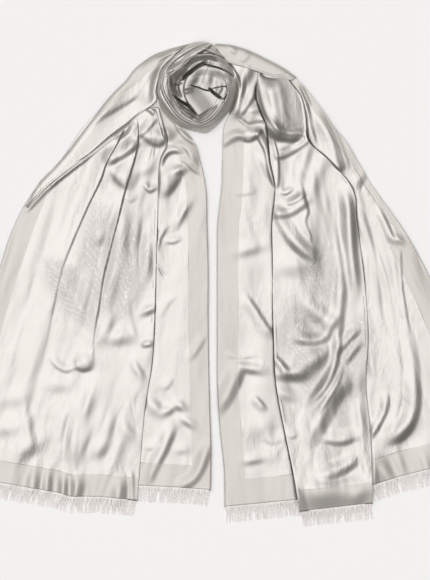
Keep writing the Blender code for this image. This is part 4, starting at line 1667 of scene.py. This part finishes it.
@dataclass(frozen=True)
class Stage:
    """Pale floor, soft light and the camera straight above."""

    lens: float = 200.0
    sensor: float = 36.0
    floor_reach: float = 6.0
    paint: tuple = (0.97, 0.97, 0.97)
    strength: float = 2.28
    # Where the light comes from: degrees from straight above, and the way on the plan
    light_lean: float = 15.0
    light_way: tuple = (-0.75, 0.66)
    # Light by the cosine of the angle to its brightest place
    horizon: tuple = (0.07, 0.068, 0.065, 1.0)
    levels: tuple = ((0.34, 0.12), (0.64, 0.25), (0.82, 0.50), (0.94, 0.83), (0.99, 0.98), (1.0, 1.0))
    warmth: float = 0.07

    def floor(self) -> None:
        """Plain pale floor that the stole lies on."""
        mesh = bpy.data.meshes.new("floor")
        near, far = -self.floor_reach, self.floor_reach
        corners = [(near, near, 0), (far, near, 0), (far, far, 0), (near, far, 0)]
        mesh.from_pydata(corners, [], [(0, 1, 2, 3)])
        paint = Weaver("floor_paint")
        paint.feed("Base Color", self.paint)
        paint.feed("Roughness", 1.0)
        paint.feed("Specular IOR Level", 0.0)
        mesh.materials.append(paint.material)
        add_piece("floor", mesh)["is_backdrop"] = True

    def camera(self) -> None:
        """Camera straight above, with the picture's frame."""
        data = bpy.data.cameras.new("camera")
        data.lens = self.lens
        data.sensor_width = self.sensor
        camera = add_piece("camera", data)
        height = FRAME_STEPS[1] * STEP * self.lens / self.sensor
        camera.location = (*plan_point(FRAME_STEPS[0] / 2, FRAME_STEPS[1] / 2), height)
        bpy.context.scene.camera = camera

    def light(self) -> None:
        """Bright soft light overhead that falls off towards the horizon."""
        world = bpy.data.worlds.new("studio")
        bpy.context.scene.world = world
        world.use_nodes = True
        tree = world.node_tree
        lean = math.radians(self.light_lean)
        way = (*(part * math.sin(lean) for part in self.light_way), math.cos(lean))
        place = add_node(tree, "ShaderNodeTexCoord", {}, {}, "Generated")
        aim = add_node(tree, "ShaderNodeVectorMath", {"operation": "DOT_PRODUCT"}, {0: place, 1: way},
                       "Value")
        colour = add_node(tree, "ShaderNodeValToRGB", {}, {0: aim})
        stops = colour.socket.node.color_ramp.elements
        stops[0].color = self.horizon
        stops.remove(stops[1])
        for position, level in self.levels:
            warmth = self.warmth * (1.0 - level)
            stops.new(position).color = (level, level * (1.0 - 0.5 * warmth), level * (1.0 - warmth), 1.0)
        background = tree.nodes["Background"]
        tree.links.new(colour.socket, background.inputs[0])
        background.inputs["Strength"].default_value = self.strength
        bpy.context.scene.view_settings.view_transform = "Standard"

    def build(self) -> None:
        """Set up floor, camera and light."""
        self.floor()
        self.camera()
        self.light()


def dress(piece: bpy.types.Object, slot: str, *nodes: str) -> None:
    """Let a piece ride on the stole and stand for CAD nodes.

    Args:
        piece: the piece.
        slot: finish slot of the part; not used.
        nodes: CAD nodes that the piece stands for.
    """
    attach(piece, "root")
    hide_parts(*nodes)
    LOG.info("built %s", piece.name)


def side_line(rows: np.ndarray, column: int, after: float) -> tuple:
    """Down and across of a side of the panels, in steps, from a place down."""
    return tuple((row[0], row[column]) for row in rows if row[0] > after)


def left_end(satin: bpy.types.Material) -> tuple:
    """Panels of the left end, lowest first.

    Args:
        satin: the cloth's material.

    Returns:
        The inner and the outer panel.
    """
    inner = Panel(
        "left_inner_cloth", "left_inner_panel", LEFT_ROWS, (3, 4), "left_inner", 98.0,
        LEFT_INNER_CREASES, Drape(48, 2.2, 20.0, 70.0, 0.1), satin, (0.87, 1.06),
        selvedge=(False, True), hidden=((2, -1.0),), shoulder=LEFT_SHOULDER)
    outer = Panel(
        "left_outer_cloth", "left_outer_panel", LEFT_ROWS, (1, 2), "left_outer", 107.9,
        LEFT_OUTER_CREASES, Drape(22, 2.4, 20.0, 95.0, 0.3), satin, (0.87, 1.02),
        border_line=((100.0, 64.0), (208.0, 21.0), (224.9, 14.7), (267.9, 0.0), (310.2, -12.9),
                     (363.2, -28.2), (410.2, -41.2), (506.7, -62.4)),
        layers=(Layer.LEFT_INNER,), folded=(False, True), selvedge=(True, False),
        shoulder=LEFT_SHOULDER)
    return inner, outer


def right_end(satin: bpy.types.Material) -> tuple:
    """Panels of the right end, lowest first.

    Args:
        satin: the cloth's material.

    Returns:
        The inner, the outer and the middle panel.
    """
    inner = Panel(
        "right_inner_cloth", "right_inner_panel", RIGHT_ROWS, (1, 2), "right_inner", 62.0,
        RIGHT_INNER_CREASES, Drape(39, 2.2, 20.0, 70.0, -0.1), satin, (0.95, 1.18),
        border_line=((62.0, 190.0), (114.0, 190.0), (124.0, 214.0), (131.0, 223.0),
                     *side_line(RIGHT_ROWS, 1, 131.0)),
        selvedge=(True, False), hidden=((3, 1.0),))
    outer = Panel(
        "right_outer_cloth", "right_outer_panel", RIGHT_ROWS, (5, 6), "right_outer", 72.0,
        RIGHT_OUTER_CREASES, Drape(39, 2.4, 20.0, 95.0, -0.35), satin, (1.0, 1.16),
        border_line=((62.0, 290.0), (97.9, 332.0), (126.1, 352.0), (160.2, 376.0), (184.9, 391.0),
                     (224.9, 418.0), (240.0, 425.0), (251.0, 416.0), *side_line(RIGHT_ROWS, 6, 251.0)),
        selvedge=(False, True), hidden=((4, -1.0),))
    middle = Panel(
        "right_middle_cloth", "right_middle_panel", RIGHT_ROWS, (3, 4), "right_middle", 72.0,
        RIGHT_MIDDLE_CREASES, Drape(52, 2.8, 21.0, 80.0, -0.15), satin, (1.0, 0.97),
        layers=(Layer.RIGHT_SIDES,), folded=(True, True))
    return inner, outer, middle


def main() -> None:
    """Build the stole and its stage."""
    logging.basicConfig(level=logging.INFO)
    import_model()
    cad_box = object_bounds()
    Stage().build()
    satin = ClothFinish("satin_cloth", plumes=PLUMES).make()
    # Darker satin for the coil's inner wrap and crown: painted shade of the coil's hollow on the same satin
    # cloth
    painted_shade = ClothFinish("satin_painted_shade", satin=(0.43, 0.412, 0.392), satin_gloss=0.33).make()
    yarn = YarnFinish().make()
    edging = YarnFinish("edging_yarn", (0.62, 0.585, 0.555), 0.0).make()
    left_inner, left_outer = left_end(satin)
    right_inner, right_outer, right_middle = right_end(satin)
    panels = (left_inner, left_outer, right_inner, right_outer, right_middle)
    for panel in panels:
        panel.build()
    threads = {}
    for stem, start, end, panel, seed in (
        ("left_outer", -61.0, 136.0, left_outer, 3),
        ("left_inner", 134.0, 209.0, left_inner, 4),
        ("right_inner", 225.5, 306.0, right_inner, 5),
        ("right_middle", 301.0, 371.0, right_middle, 6),
        ("right_outer", 368.0, 489.0, right_outer, 7),
    ):
        fringe = Fringe(stem + "_threads", stem + "_fringe", stem, start, end, panel, seed, yarn)
        threads[panel.name] = fringe.build()
        dress(threads[panel.name], "thread", fringe.node)
    below = {"left_outer_cloth": [left_inner.sheet.piece],
             "right_middle_cloth": [right_inner.sheet.piece, right_outer.sheet.piece]}
    for panel in panels:
        panel.sheet.lay("satin", (panel.node,), below.get(panel.name, ["floor"]), [threads[panel.name]])
    for part in (
        CoilPart("coil_outer_cloth", ("neck_outer_wrap",), (0.0, 13.8), satin),
        # The inner wrap and the crown take the satin with painted shade
        CoilPart("coil_inner_cloth", ("neck_inner_wrap",), (13.8, 26.0), painted_shade),
        CoilPart("coil_crown_cloth", ("neck_crown", "neck_hidden_layers"), (26.0, 99.0), painted_shade, True),
    ):
        Coil().build(part).lay("satin", part.nodes, ["floor"], [])
    for shoulder in (
        Shoulder("left_shoulder_cloth", "left_shoulder_border", LEFT_SHOULDER,
                 (Layer.LEFT_INNER, Layer.LEFT_OUTER), LEFT_SHOULDER_CREASES, satin,
                 ((0, 30), (3, 24), (4, 22), (6, 15), (8, 6), (9.5, -4), (14, -4)),
                 (left_inner, left_outer)),
        Shoulder("right_shoulder_cloth", "right_shoulder_border", RIGHT_SHOULDER,
                 (Layer.RIGHT_SIDES, Layer.RIGHT_MIDDLE), RIGHT_SHOULDER_CREASES, satin,
                 ((0, 60), (6, 60)), (right_inner, right_outer, right_middle)),
    ):
        lower = [panel.sheet.piece for panel in shoulder.under]
        shoulder.build().lay("border", (shoulder.node,), lower, [])
    for picots in (
        Picots("left_selvedge_stitches", left_inner, 4, 1.0, 180.0, 487.0, 8, edging),
        Picots("right_selvedge_stitches", right_inner, 1, -1.0, 160.0, 505.0, 9, edging),
    ):
        dress(picots.build(), "thread", picots.panel.node)
    [[list(map(float, corner)) for corner in box] for box in (cad_box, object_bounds())]


if __name__ == "__main__":
    main()
